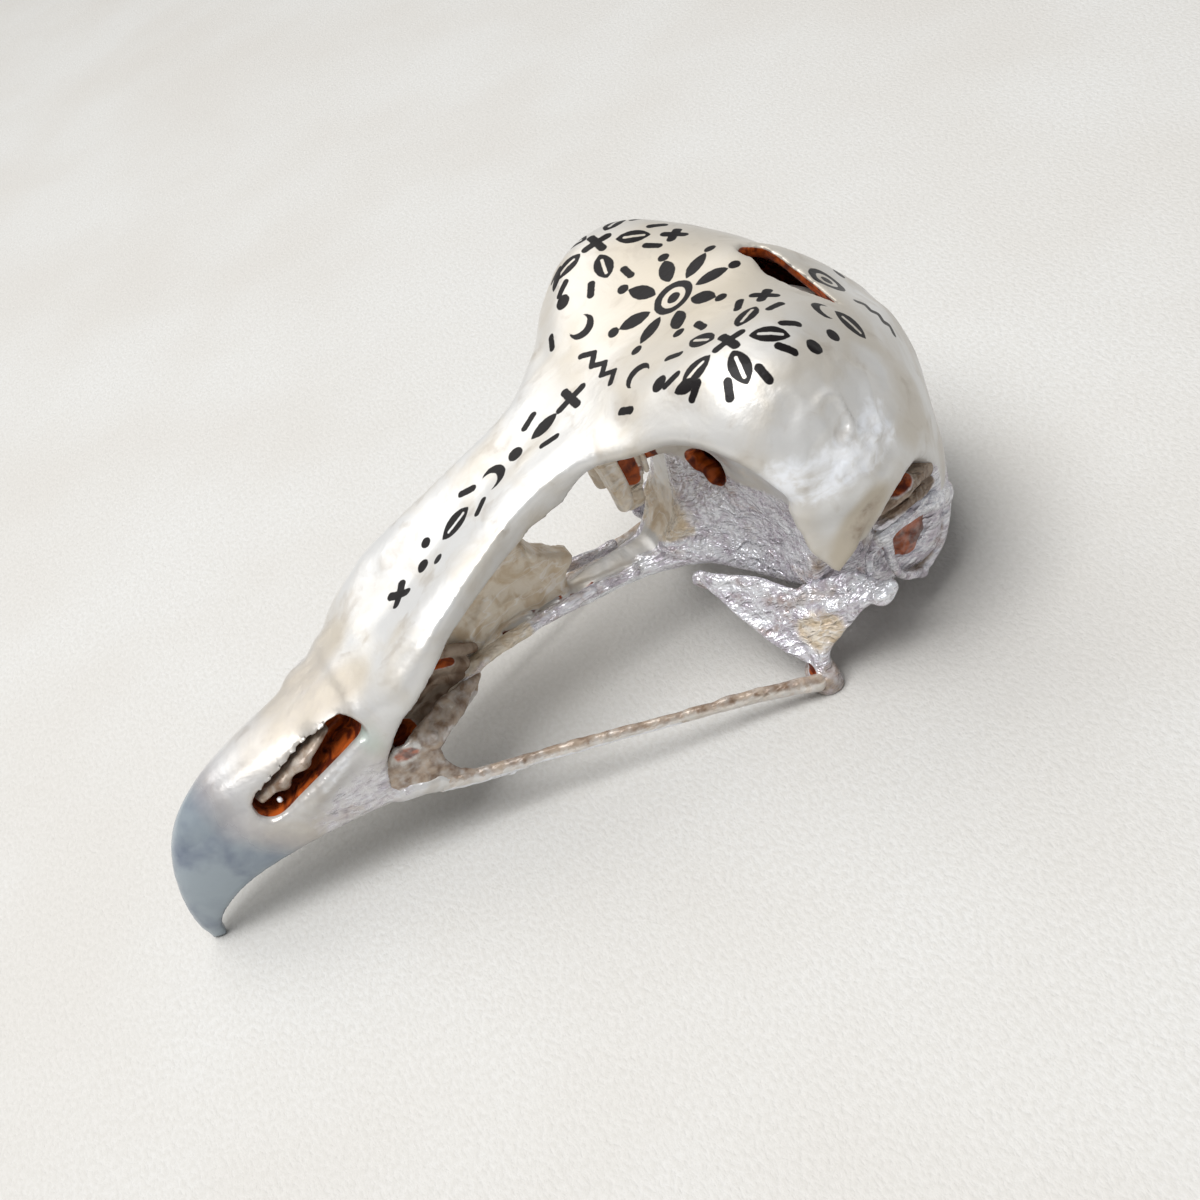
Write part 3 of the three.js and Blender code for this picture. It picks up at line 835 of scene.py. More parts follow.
class Nodes:
    """Short ways to lay out a material's nodes."""

    def __init__(self, name: str) -> None:
        """Starts an empty material."""
        self.material = bpy.data.materials.new(name)
        self.material.use_nodes = True
        self.tree = self.material.node_tree
        self.tree.nodes.clear()
        self.places = self.add("ShaderNodeTexCoord").outputs["Object"]

    def add(self, kind: str, inputs: dict | None = None, **settings: object) -> bpy.types.Node:
        """Adds a node.

        Args:
            kind: the node's type.
            inputs: values or sockets for its inputs, by name or number.
            settings: the node's own properties.

        Returns:
            The new node.
        """
        node = self.tree.nodes.new(kind)
        for key, value in settings.items():
            setattr(node, key, value)
        for key, value in (inputs or {}).items():
            if isinstance(value, bpy.types.NodeSocket):
                self.tree.links.new(value, node.inputs[key])
            else:
                node.inputs[key].default_value = value
        return node

    def mask(self, name: str) -> bpy.types.NodeSocket:
        """A value stored at the skin's points."""
        return self.add("ShaderNodeAttribute", attribute_name=name).outputs["Fac"]

    def math(self, operation: str, a: object, b: object = 0.0, clamp: bool = False) -> bpy.types.NodeSocket:
        """One sum on two values."""
        return self.add("ShaderNodeMath", {0: a, 1: b}, operation=operation, use_clamp=clamp).outputs[0]

    def noise(
        self, grain: float, detail: float = 3.0, warp: float = 0.0, stretch: Triple = (1, 1, 1)
    ) -> bpy.types.NodeSocket:
        """Cloudy noise with lumps about grain millimetres across, drawn out by stretch."""
        places = self.add("ShaderNodeMapping", {"Vector": self.places, "Scale": stretch}).outputs[0]
        inputs = {"Vector": places, "Scale": 1 / (grain * MM), "Detail": detail, "Distortion": warp}
        return self.add("ShaderNodeTexNoise", inputs).outputs["Fac"]

    def creases(self, grain: float, stretch: Triple = (1, 1, 1), warp: float = 0.0) -> bpy.types.NodeSocket:
        """Sharp folds like foil, 1 along each fold and less beside it."""
        off = self.math("ABSOLUTE", self.math("SUBTRACT", self.noise(grain, 3, warp, stretch), 0.5))
        return self.math("SUBTRACT", 1.0, self.math("MULTIPLY", off, 5.0), True)

    def rise(self, value: object, low: float, high: float, to: Pair = (0.0, 1.0)) -> bpy.types.NodeSocket:
        """Smooth change from to[0] at low to to[1] at high."""
        inputs = {"Value": value, "From Min": low, "From Max": high, "To Min": to[0], "To Max": to[1]}
        return self.add("ShaderNodeMapRange", inputs, interpolation_type="SMOOTHSTEP").outputs["Result"]

    def blend(self, factor: object, a: object, b: object) -> bpy.types.NodeSocket:
        """Colour a turning to colour b."""
        return self.add("ShaderNodeMix", {0: factor, 6: a, 7: b}, data_type="RGBA").outputs[2]

    def level(self, factor: object, a: object, b: object) -> bpy.types.NodeSocket:
        """Number a turning to number b."""
        return self.add("ShaderNodeMix", {0: factor, 2: a, 3: b}, data_type="FLOAT").outputs[0]

    def relief(
        self, height: object, strength: object, depth: float, under: object = None
    ) -> bpy.types.NodeSocket:
        """Bumps of a depth in millimetres, on top of any bumps already there."""
        inputs = {"Height": height, "Strength": strength, "Distance": depth * MM}
        if under is not None:
            inputs["Normal"] = under
        return self.add("ShaderNodeBump", inputs).outputs[0]

    def finish(self, inputs: dict) -> bpy.types.Material:
        """Ends the material in one shader with the given inputs."""
        shader = self.add("ShaderNodeBsdfPrincipled", inputs)
        self.add("ShaderNodeOutputMaterial", {"Surface": shader.outputs[0]})
        return self.material


class Coat(Enum):
    """The finishes that a skin's points can carry, and the painted highlight, each by the name of its mask.
    """

    AMBER = "amber"
    SILVER = "silver"
    HORN = "horn"
    THIN = "thin"
    IVORY = "ivory"
    TAUPE = "taupe"
    # GLINT is painted highlight: white put where light glints off the bone, with whiter paint on the temple
    # lumps.
    GLINT = "glint"
    GREEN = "green"


INK_MASK = "ink"
NO_INK = 2.0


@dataclass(frozen=True)
class Tint:
    """A patch of one finish, or of painted highlight, round a shape.

    Args:
        coat: the finish.
        shape: what the patch lies round.
        width: how far outside the shape it fades out, in millimetres.
        strength: how strong it is in the middle.
    """

    coat: Coat
    shape: Shape
    width: float
    strength: float = 1.0

    def at(self, points: np.ndarray) -> np.ndarray:
        """How strong the patch is at each point."""
        low, high = self.shape.reach()
        near = np.all((points > low - self.width) & (points < high + self.width), axis=1)
        value = np.zeros(len(points))
        if near.any():
            value[near] = self.strength * (1 - step_up(self.shape.distance(points[near]), 0, self.width))
        return value


@dataclass(frozen=True)
class PaintedBone:
    """Pearl paint over bone, which gives way to silver, horn, thin bone and dark hollows by masks.

    Args:
        name: the material's name.
        pearl: colour of the paint in the light.
        pearl_warm: colour of the matte, warmer patches.
        stain: colour of the faint stains.
        horn: colour of the horn at the bill tip.
        horn_dark: colour of its darker blotches.
        horn_lilac: colour where the horn begins.
        silver: colour of the crinkled silvered bone.
        silver_lilac: colour of its cooler patches.
        silver_brown: colour of the bare patches in it.
        thin: colour of thin bone that light comes through.
        thin_deep: colour of its thicker folds.
        taupe: colour of grey-brown glassy bone.
        taupe_deep: colour of its darker parts.
        amber: colour of the hollows.
        amber_deep: colour of their darkest places.
        glint: colour of the painted highlights, white where light glints off folds, rims and lumps.
        green: colour of the pale green patch.
        ink: colour of the ornament.
    """

    name: str
    pearl: Colour = shade(214, 213, 211)
    pearl_warm: Colour = shade(192, 182, 165)
    stain: Colour = shade(172, 162, 149)
    horn: Colour = shade(152, 162, 169)
    horn_dark: Colour = shade(118, 127, 142)
    horn_lilac: Colour = shade(164, 156, 156)
    silver: Colour = shade(230, 228, 234)
    silver_lilac: Colour = shade(198, 190, 200)
    silver_brown: Colour = shade(170, 142, 122)
    thin: Colour = shade(224, 213, 196)
    thin_deep: Colour = shade(202, 182, 154)
    taupe: Colour = shade(164, 147, 130)
    taupe_deep: Colour = shade(118, 96, 78)
    amber: Colour = shade(178, 84, 28)
    amber_deep: Colour = shade(84, 28, 10)
    # Painted highlight: white that stands in for light glinting off the bone.
    glint: Colour = shade(244, 246, 250)
    green: Colour = shade(178, 198, 188)
    ink: Colour = shade(12, 7, 8)

    def material(self) -> bpy.types.Material:
        """Builds the material."""
        n = Nodes(self.name)
        mask = {coat: n.mask(coat.value) for coat in Coat}
        clouds = n.noise(4.5, 4, 0.4)
        fine = n.noise(0.7, 4, 0.2)
        edge = n.math("MULTIPLY", n.math("SUBTRACT", n.noise(0.6, 4, 0.4), 0.5), 0.7)
        silver, thin, taupe, glint = (
            n.rise(n.math("ADD", mask[coat], edge), 0.2, 0.75)
            for coat in (Coat.SILVER, Coat.THIN, Coat.TAUPE, Coat.GLINT)
        )
        amber = n.rise(n.math("ADD", mask[Coat.AMBER], n.math("MULTIPLY", edge, 0.3)), 0.35, 0.65)
        ink_edge = n.math("ADD", n.mask(INK_MASK), n.math("MULTIPLY", n.noise(0.35, 2), 0.1))
        ink = n.rise(ink_edge, 0.02, 0.09, (1, 0))
        folds = n.creases(2.2, (0.5, 1.3, 1.6), 0.5)
        tiny = n.creases(0.8, (0.45, 1.2, 1.5), 0.3)
        colour = n.blend(n.rise(clouds, 0.4, 0.7, (0.0, 0.6)), self.pearl, self.pearl_warm)
        colour = n.blend(n.math("MULTIPLY", mask[Coat.IVORY], 0.9), colour, self.pearl_warm)
        colour = n.blend(n.rise(n.noise(2.2, 5, 0.6), 0.55, 0.72, (0.0, 0.45)), colour, self.stain)
        foil = n.blend(n.rise(fine, 0.35, 0.65), self.silver, self.silver_lilac)
        foil = n.blend(n.rise(n.noise(1.8, 4, 0.5), 0.54, 0.7, (0.0, 0.5)), foil, self.silver_brown)
        # Painted highlight: white glints painted on the crinkles of the silvered bone.
        foil = n.blend(n.rise(n.noise(2.4, 4, 0.8), 0.5, 0.66, (0.0, 0.6)), foil, self.glint)
        foil = n.blend(n.rise(tiny, 0.8, 0.97, (0.0, 0.7)), foil, self.glint)
        colour = n.blend(silver, colour, foil)
        web = n.blend(n.rise(n.noise(1.2, 4, 0.8), 0.4, 0.68), self.thin, self.thin_deep)
        # Painted highlight: white along the folds of the thin bone.
        web = n.blend(n.rise(folds, 0.88, 0.98, (0.0, 0.3)), web, self.glint)
        colour = n.blend(thin, colour, web)
        glass = n.blend(n.rise(n.noise(0.9, 4, 0.5), 0.35, 0.68), self.taupe, self.taupe_deep)
        colour = n.blend(taupe, colour, glass)
        beak = n.blend(n.rise(n.noise(3.0, 3, 0.2), 0.38, 0.7), self.horn, self.horn_dark)
        beak = n.blend(n.rise(mask[Coat.HORN], 0.45, 0.95, (0.8, 0.0)), beak, self.horn_lilac)
        horn = n.math("ADD", mask[Coat.HORN], n.math("MULTIPLY", edge, 0.4))
        colour = n.blend(n.rise(horn, 0.02, 0.95), colour, beak)
        colour = n.blend(n.math("MULTIPLY", mask[Coat.GREEN], 0.8), colour, self.green)
        deep = n.blend(n.rise(n.noise(1.1, 5, 0.9), 0.36, 0.64), self.amber, self.amber_deep)
        colour = n.blend(amber, colour, deep)
        # Painted highlight: the glint patches painted white, strongest on folds and lumps.
        shine = n.math("MULTIPLY", glint, n.rise(n.math("ADD", folds, clouds), 0.5, 1.2, (0.35, 1.0)))
        colour = n.blend(shine, colour, self.glint)
        colour = n.blend(ink, colour, self.ink)
        rough = n.level(silver, n.rise(clouds, 0.3, 0.7, (0.3, 0.42)), n.rise(fine, 0.3, 0.7, (0.16, 0.32)))
        rough = n.level(mask[Coat.IVORY], rough, 0.5)
        rough = n.level(mask[Coat.HORN], rough, 0.24)
        rough = n.level(n.math("MAXIMUM", amber, taupe), rough, 0.2)
        rough = n.level(ink, rough, 0.46)
        metal = n.level(silver, 0.4, 0.5)
        bare = n.math("MAXIMUM", n.math("MAXIMUM", amber, ink), n.math("MAXIMUM", thin, taupe))
        metal = n.level(bare, metal, 0.04)
        bump = n.relief(clouds, 0.35, 0.5)
        bump = n.relief(folds, n.level(silver, n.level(thin, 0.02, 0.25), 0.8), 0.3, bump)
        bump = n.relief(tiny, n.level(silver, 0.02, 0.7), 0.12, bump)
        bump = n.relief(n.noise(0.35, 3), n.level(silver, 0.12, 0.16), 0.04, bump)
        return n.finish(
            {
                "Base Color": colour,
                "Roughness": rough,
                "Metallic": metal,
                "Normal": bump,
                "Coat Weight": 0.05,
                "Coat Roughness": 0.15,
                "Specular IOR Level": 0.16,
                "Sheen Weight": 0.05,
            }
        )


# ---- The inked ornament -------------------------------------------------------------------------


class Motif(Enum):
    """The figures that the ornament is made of."""

    DOT = "dot"
    RING = "ring"
    CRESCENT = "crescent"
    PETAL = "petal"
    LEAF = "leaf"
    CROSS = "cross"
    DASH = "dash"
    WAVE = "wave"


@dataclass(frozen=True)
class Mark:
    """One figure of the ornament.

    Args:
        motif: which figure it is.
        back: where its middle is, behind the tip of the bill.
        side: where its middle is, off the midline.
        size: its half-length.
        turn: how far it is turned, in degrees, from lying along the skull.
        shift: how far it is moved from there on the surface, along its own turn.
    """

    motif: Motif
    back: float
    side: float
    size: float
    turn: float = 0.0
    shift: float = 0.0


def segment(flat: np.ndarray, a: Pair, b: Pair, width: float) -> np.ndarray:
    """Distance from a straight stroke with round ends."""
    start, run = np.array(a), np.array(b) - np.array(a)
    part = np.clip((flat - start) @ run / (run @ run), 0, 1)
    return np.linalg.norm(flat - start - part[:, None] * run, axis=1) - width


def lens(flat: np.ndarray, length: float, width: float) -> np.ndarray:
    """Distance from a pointed oval along the first axis."""
    radius = (length**2 + width**2) / (2 * width)
    side = np.abs(flat[:, 1]) + radius - width
    return np.hypot(flat[:, 0], side) - radius


@dataclass(frozen=True)
class Ornament:
    """Folk ornament in ink on the roof of the skull, the same on both sides of the midline.

    Args:
        stroke: half the width of a pen stroke.
        reach: how far from its middle a figure is worked out.
    """

    stroke: float = 0.28
    reach: float = 3.2

    def _figure(self, motif: Motif, flat: np.ndarray, size: float) -> np.ndarray:
        """Distance of flat points from one figure at the middle."""
        length = np.linalg.norm(flat, axis=1)
        if motif is Motif.DOT:
            return length - size
        if motif is Motif.RING:
            return np.minimum(np.abs(length - size) - self.stroke, length - size * 0.4)
        if motif is Motif.CRESCENT:
            bite = np.linalg.norm(flat - (size * 0.5, 0), axis=1) - size * 0.8
            return np.maximum(length - size, -bite)
        if motif is Motif.PETAL:
            return lens(flat, size, size * 0.5)
        if motif is Motif.LEAF:
            rib = segment(flat, (-size * 0.5, 0), (size * 0.6, 0), self.stroke * 0.45)
            return np.maximum(lens(flat, size, size * 0.58), -rib)
        if motif is Motif.CROSS:
            level = segment(flat, (-size, 0), (size, 0), self.stroke * 1.15)
            return np.minimum(level, segment(flat, (0, -size), (0, size), self.stroke * 1.15))
        if motif is Motif.WAVE:
            steps = 6
            places = [(size * (2 * k / steps - 1), size * 0.16 * (-1) ** k) for k in range(steps + 1)]
            strokes = [segment(flat, a, b, self.stroke * 0.85) for a, b in zip(places, places[1:])]
            return np.min(strokes, axis=0)
        return segment(flat, (-size, 0), (size, 0), self.stroke)

    def _wreath(
        self, motif: Motif, back: float, side: float, radius: float, count: int, size: float
    ) -> list[Mark]:
        """Figures in a ring, each pointing away from its middle."""
        return [Mark(motif, back, side, size, 360 * (k + 0.5) / count, radius) for k in range(count)]

    def marks(self) -> list[Mark]:
        """Every figure on the midline and on the left side."""
        crown = [Mark(Motif.RING, 48.8, 0, 1.2)]
        crown += self._wreath(Motif.PETAL, 48.8, 0, 2.9, 8, 1.2)
        crown += self._wreath(Motif.DOT, 48.8, 0, 4.6, 8, 0.42)
        temple = [Mark(Motif.CROSS, 48.0, 9.8, 0.9)]
        temple += self._wreath(Motif.LEAF, 48.0, 9.8, 2.7, 5, 1.25)
        temple += self._wreath(Motif.DASH, 48.0, 9.8, 4.5, 10, 0.5)
        brow = [Mark(Motif.WAVE, 42.5, 0, 2.4, 90)]
        brow += [Mark(Motif.CRESCENT, 43.4, 4.4, 1.0, 100), Mark(Motif.DOT, 43.6, 7.6, 0.6)]
        brow += [Mark(Motif.PETAL, 44.4, 10.0, 0.95, 30), Mark(Motif.DASH, 41.4, 6.0, 0.5, 60)]
        chain = [
            Mark(Motif.CROSS, 39.8, 0, 1.05),
            Mark(Motif.PETAL, 37.3, 0, 1.2),
            Mark(Motif.DASH, 36.9, 1.7, 0.55, 24),
            Mark(Motif.DOT, 34.9, 0, 0.58),
            Mark(Motif.CRESCENT, 32.8, 0, 1.05, 180),
            Mark(Motif.DASH, 31.0, 1.2, 0.5, -30),
            Mark(Motif.LEAF, 29.2, 0, 1.4),
            Mark(Motif.DOT, 26.9, 1.2, 0.4),
            Mark(Motif.DOT, 25.9, 0, 0.5),
            Mark(Motif.CROSS, 23.6, 0, 0.8, 45),
        ]
        nape = [Mark(Motif.RING, 58.6, 3.6, 1.1), Mark(Motif.CROSS, 52.4, 6.4, 0.7, 45)]
        nape += [Mark(Motif.LEAF, 56.6, 10.0, 1.3, 70), Mark(Motif.DOT, 60.6, 1.0, 0.5)]
        nape += [Mark(Motif.DOT, 52.6, 13.0, 0.58), Mark(Motif.DOT, 54.6, 11.6, 0.5)]
        nape += [Mark(Motif.WAVE, 59.8, 7.0, 1.6, 62), Mark(Motif.CRESCENT, 55.0, 9.0, 0.85, 20)]
        return crown + temple + brow + chain + nape

    def ink(self, points: np.ndarray, normals: np.ndarray, outer: np.ndarray) -> np.ndarray:
        """How far each point lies outside the ornament's strokes.

        Args:
            points: the skin's points.
            normals: the skin's outward directions.
            outer: which points are on the outside and may carry ink.

        Returns:
            The distance in millimetres, below nothing where there is ink.
        """
        ink = np.full(len(points), NO_INK)
        roof = outer & (normals[:, 2] > -0.2)
        for mark in self.marks():
            for sign in (1, -1) if mark.side > 0.05 else (1,):
                self._apply(mark, sign, points, normals, roof, ink)
        return ink

    def _apply(
        self,
        mark: Mark,
        sign: int,
        points: np.ndarray,
        normals: np.ndarray,
        roof: np.ndarray,
        ink: np.ndarray,
    ) -> None:
        """Works one figure into the ink, on one side."""
        off = np.hypot(points[:, 0] - mark.back, points[:, 1] - sign * mark.side)
        near = np.where(roof & (off < 0.8), points[:, 2], -1)
        if near.max() < 0:
            return
        start = int(np.argmax(near - off))
        turn = math.radians(mark.turn) * sign
        centre, along, across = self._lie(points, normals, start, turn)
        if mark.shift:
            goal = centre + along * mark.shift
            reach = np.where(roof, np.linalg.norm(points - goal, axis=1), FAR)
            start = int(np.argmin(reach))
            centre, normal = points[start], normals[start]
            along = along - normal * (along @ normal)
            along /= np.linalg.norm(along)
            across = np.cross(normal, along)
        offset = points - centre
        close = roof & (np.linalg.norm(offset, axis=1) < self.reach)
        flat = np.stack([offset[close] @ along, offset[close] @ across], axis=1)
        ink[close] = np.minimum(ink[close], self._figure(mark.motif, flat, mark.size))

    def _lie(
        self, points: np.ndarray, normals: np.ndarray, start: int, turn: float
    ) -> tuple[np.ndarray, np.ndarray, np.ndarray]:
        """The point, and two directions along the surface there, turned by an angle."""
        normal = normals[start]
        ahead = np.array([1.0, 0, 0]) - normal * normal[0]
        ahead /= np.linalg.norm(ahead)
        aside = np.cross(normal, ahead)
        along = ahead * math.cos(turn) + aside * math.sin(turn)
        return points[start], along, np.cross(normal, along)


# ---- The fused skull ----------------------------------------------------------------------------


def both(shape: type[Shape], *sizes: object, **named: object) -> tuple[Shape, Shape]:
    """The same shape on the left and on the right."""
    return tuple(shape(*sizes, sign=sign, **named) for sign in SIDES.values())


def wire(route: tuple[Triple, ...], radius: float, sign: float = 1.0, links: int = 10) -> Rod:
    """A rod of one round thickness."""
    sizes = (radius,) * len(route)
    return Rod(route, sizes, sizes, sign, links)


def patches(
    coat: Coat, route: tuple[Triple, ...], radius: float, width: float, strength: float = 1.0
) -> tuple[Tint, ...]:
    """A patch of finish along a route, on the left and on the right."""
    return tuple(Tint(coat, wire(route, radius, sign), width, strength) for sign in SIDES.values())


@dataclass
class FusedSkull:
    """Bill, roof, ethmoid, beam and braincase, which are one bone in an adult bird.

    Args:
        pitch: distance between samples of its volume.
        block: lowest and highest corner of the space that is sampled.
        wall: thickness of the braincase.
        orbit: middles and radii of the rounds that make one orbit.
        quadrate_hollow: middle and radii of the hollow behind the orbit.
        ear: middle and radii of the ear opening.
        palate: middle and radii of the hollow under the bill.
        foramen: middle and radii of the opening for the spinal cord.
        optic: middles and radii of the rounds that make the opening for the nerve of the eye.
        hollow: how far back the brain cavity begins and ends.
        fenestra: outline of the opening between the orbits.
        window: outline of the opening before the orbit.
        window_inner: half the thickness of the bone between the two windows.
        roof_hole: outline of the crack in the roof.
        nostril_front: front end of the nostril.
        nostril_rear: rear end of the nostril.
        nostril_half: half the width of the nostril.
        septum: half the thickness of the wall between the nostrils.
        temple: middle of the lumpy temple, in side view, and how far the lumps spread.
        hinge: front, rear and lowest height of the hinge between bill and forehead, which is evened out.
        hinge_rounds: how many times it is evened out.
        rim_band: how near a sharp rim the faces are made smaller.
        ink_bands: how near a pen stroke they are, at each of two passes.
    """

    pitch: float = 0.3
    block: tuple[Triple, Triple] = ((-1.0, -17.6, -0.7), (64.0, 17.6, 27.4))
    wall: float = 1.1
    orbit: tuple = (
        ((35.6, 11.2, 11.4), (11.6, 10.4, 9.6)),
        ((40.5, 12.5, 12.5), (7.2, 8.2, 10.6)),
        ((40.0, 6.8, 15.8), (5.9, 6.2, 5.4)),
    )
    quadrate_hollow: tuple = ((48.0, 16.6, 6.4), (5.6, 5.4, 5.8))
    ear: tuple = ((54.0, 15.2, 9.1), (4.3, 4.4, 5.6))
    palate: tuple = ((12.5, 0, 3.4), (9.5, 3.1, 2.8))
    foramen: tuple = ((59.5, 0, 4.6), (3.7, 3.4, 4.4))
    optic: tuple = (((45.6, 4.3, 15.9), (2.4, 1.3, 0.9)), ((45.6, 4.9, 15.1), (2.4, 0.8, 0.8)))
    hollow: Pair = (44.8, 62.0)
    fenestra: tuple[Pair, ...] = (
        (33.8, 9.9), (34.0, 11.3), (35.1, 12.5), (33.0, 14.3), (31.8, 17.0), (33.0, 19.2), (38.4, 19.6),
        (39.4, 16.5), (39.9, 13.4), (41.2, 13.2), (42.2, 16.0), (43.9, 16.4), (43.2, 13.0), (41.4, 10.4),
        (40.4, 9.4),
    )
    window: tuple[Pair, ...] = (
        (16.6, 7.2), (17.4, 9.6), (19.8, 12.6), (23.4, 15.0), (27.0, 16.4), (32.0, 17.8), (32.0, 7.0),
        (20.0, 6.2),
    )
    window_inner: float = 1.3
    roof_hole: tuple[Pair, ...] = (
        (53.9, 0.2), (54.5, -0.7), (55.8, -0.4), (56.2, 2.0), (56.6, 4.2), (56.4, 7.2), (55.0, 5.8),
        (54.1, 3.4), (54.3, 1.6),
    )
    nostril_front: Pair = (9.2, 10.0)
    nostril_rear: Pair = (16.0, 12.55)
    nostril_half: float = 1.1
    septum: float = 1.2
    temple: tuple[Triple, Triple] = ((51.0, 0, 19.6), (3.6, 1, 4.2))
    hinge: Triple = (17.7, 22.5, 12.2)
    hinge_rounds: int = 30
    rim_band: float = 0.45
    ink_bands: Pair = (0.3, 0.14)

    def __post_init__(self) -> None:
        """Sets up the shapes that several methods use."""
        self.cranium = CraniumShape()
        self.bill = BillShape()
        self.orbits = Joined(tuple(ball for round_ in self.orbit for ball in both(Ball, *round_)), 0.8)
        self.hollows = Joined(both(Ball, *self.quadrate_hollow))
        self.ears = Joined(both(Ball, *self.ear))
        self.optics = Joined(tuple(ball for round_ in self.optic for ball in both(Ball, *round_)), 0.3)
        self.brain = Carved(
            self.cranium,
            ((self.orbits, self.wall), (self.ears, self.wall * 0.7), (self.hollows, self.wall)),
            self.wall,
            self.hollow,
        )
        self.nostrils = Joined(self._nostrils(), 0.01)
        self.windows = Joined(
            (Slot(self.window, self.window_inner, FAR), Slot(self.window, -FAR, -self.window_inner)), 0.01
        )
        self.hole = Slot(self.roof_hole, 15, 40, from_above=True)
        self.gap = Slot(self.fenestra, -4, 4)
        self.beam = Rod(
            ((22.0, 0, 9.0), (27.0, 0, 9.3), (33.0, 0, 9.0), (38.5, 0, 8.5), (43.5, 0, 7.7)),
            (1.3, 1.0, 0.9, 1.2, 2.6),
            (0.9, 0.75, 0.75, 0.9, 1.3),
        )

    def _nostrils(self) -> tuple[Shape, Shape]:
        """The two nostril slots, with round ends."""
        front, rear = np.array(self.nostril_front), np.array(self.nostril_rear)
        heading = math.atan2(*(rear - front)[::-1])
        outline = []
        for end, start in ((front, math.pi / 2), (rear, -math.pi / 2)):
            for step in range(9):
                angle = heading + start + math.pi * step / 8
                spoke = np.array([math.cos(angle), math.sin(angle)])
                outline.append(tuple(end + self.nostril_half * spoke))
        outline = tuple(outline)
        return Slot(outline, self.septum, FAR), Slot(outline, -FAR, -self.septum)

    def _volume(self) -> Volume:
        """Joins the solids and cuts the openings."""
        volume = Volume(*self.block, self.pitch)
        volume.join(self.cranium)
        volume.join(self.bill, 1.0)
        hinge_side = ((21.5, 4.9, 14.6), (18.6, 4.2, 13.4), (15.0, 3.3, 12.7))
        hinge_front = ((23.0, 5.5, 15.4), (20.6, 5.3, 13.4), (18.6, 4.9, 11.8), (17.0, 4.5, 10.4))
        for sign in SIDES.values():
            volume.join(Ball((21.4, 5.7, 13.6), (2.6, 1.1, 1.5), sign), 1.2)
            volume.join(wire(hinge_side, 0.8, sign), 1.6)
            volume.join(wire(hinge_front, 0.9, sign), 1.6)
        volume.carve(self.orbits, 0.9)
        volume.carve(self.hollows, 0.7)
        volume.carve(self.ears, 0.7)
        volume.carve(self.gap, 0.4)
        volume.carve(self.windows, 0.5)
        volume.carve(self.nostrils, 0.3)
        volume.carve(Ball(*self.palate), 0.6)
        volume.carve(self.brain, 0.4)
        volume.carve(self.optics, 0.3)
        volume.carve(Ball(*self.foramen), 0.7)
        volume.carve(self.hole, 0.2)
        volume.join(self.beam, 0.8)
        for part, blend in self._added():
            volume.join(part, blend)
        for cut in self._slits():
            volume.carve(cut, 0.2)
        volume.floor()
        return volume

    def _added(self) -> list[tuple[Shape, float]]:
        """Ridges, tabs and lumps that stand on the main solids, each with its fillet."""
        tab = (
            (46.2, 15.2, 17.2), (51.0, 15.7, 16.8), (50.2, 15.9, 14.8), (48.9, 16.0, 12.8),
            (47.3, 16.1, 12.0), (46.4, 15.8, 14.0),
        )
        parts = []
        for sign in SIDES.values():
            parts += [
                (wire(((11.4, 4.0, 8.9), (13.6, 4.5, 10.0), (16.4, 4.9, 11.5)), 0.4, sign), 0.9),
                (wire(((16.8, 5.1, 6.2), (18.4, 5.3, 5.8), (20.2, 5.6, 5.25)), 0.5, sign), 0.6),
                (Ball((48.3, 15.2, 19.4), (2.1, 1.35, 1.8), sign), 0.6),
                (Ball((52.6, 13.9, 19.2), (1.1, 1.1, 1.9), sign), 0.6),
                (Ball((46.0, 12.9, 22.2), (1.4, 1.0, 0.9), sign), 0.7),
                (Ball((50.7, 14.3, 21.5), (1.0, 0.9, 0.8), sign), 0.6),
                (Plate(tab, 0.5, sign), 0.8),
                (wire(((47.4, 15.8, 16.8), (50.4, 16.1, 16.9), (53.0, 15.2, 16.2)), 0.5, sign), 1.2),
                (wire(((24.6, 1.3, 10.4), (26.4, 1.4, 11.8), (28.4, 1.2, 13.6)), 0.4, sign), 0.5),
                (wire(((25.8, 1.2, 10.3), (27.6, 1.3, 11.3), (29.6, 1.1, 12.8)), 0.35, sign), 0.4),
                (Ball((26.4, 1.4, 14.2), (0.9, 0.6, 0.6), sign), 0.4),
                (Ball((27.8, 1.3, 15.0), (0.8, 0.5, 0.7), sign), 0.4),
            ]
        parts.append((Ball((55.3, 3.0, 20.4), (2.6, 5.4, 1.6)), 0.3))
        return parts

    def _slits(self) -> list[Shape]:
        """The narrow slits along the beam."""
        cuts = []
        for sign in SIDES.values():
            cuts += [
                Ball((29.7, 1.1, 10.2), (1.5, 0.6, 0.32), sign),
                Ball((32.2, 0.9, 10.1), (1.0, 0.4, 0.22), sign),
                Ball((34.6, 0.9, 9.7), (1.0, 0.4, 0.22), sign),
            ]
        return cuts

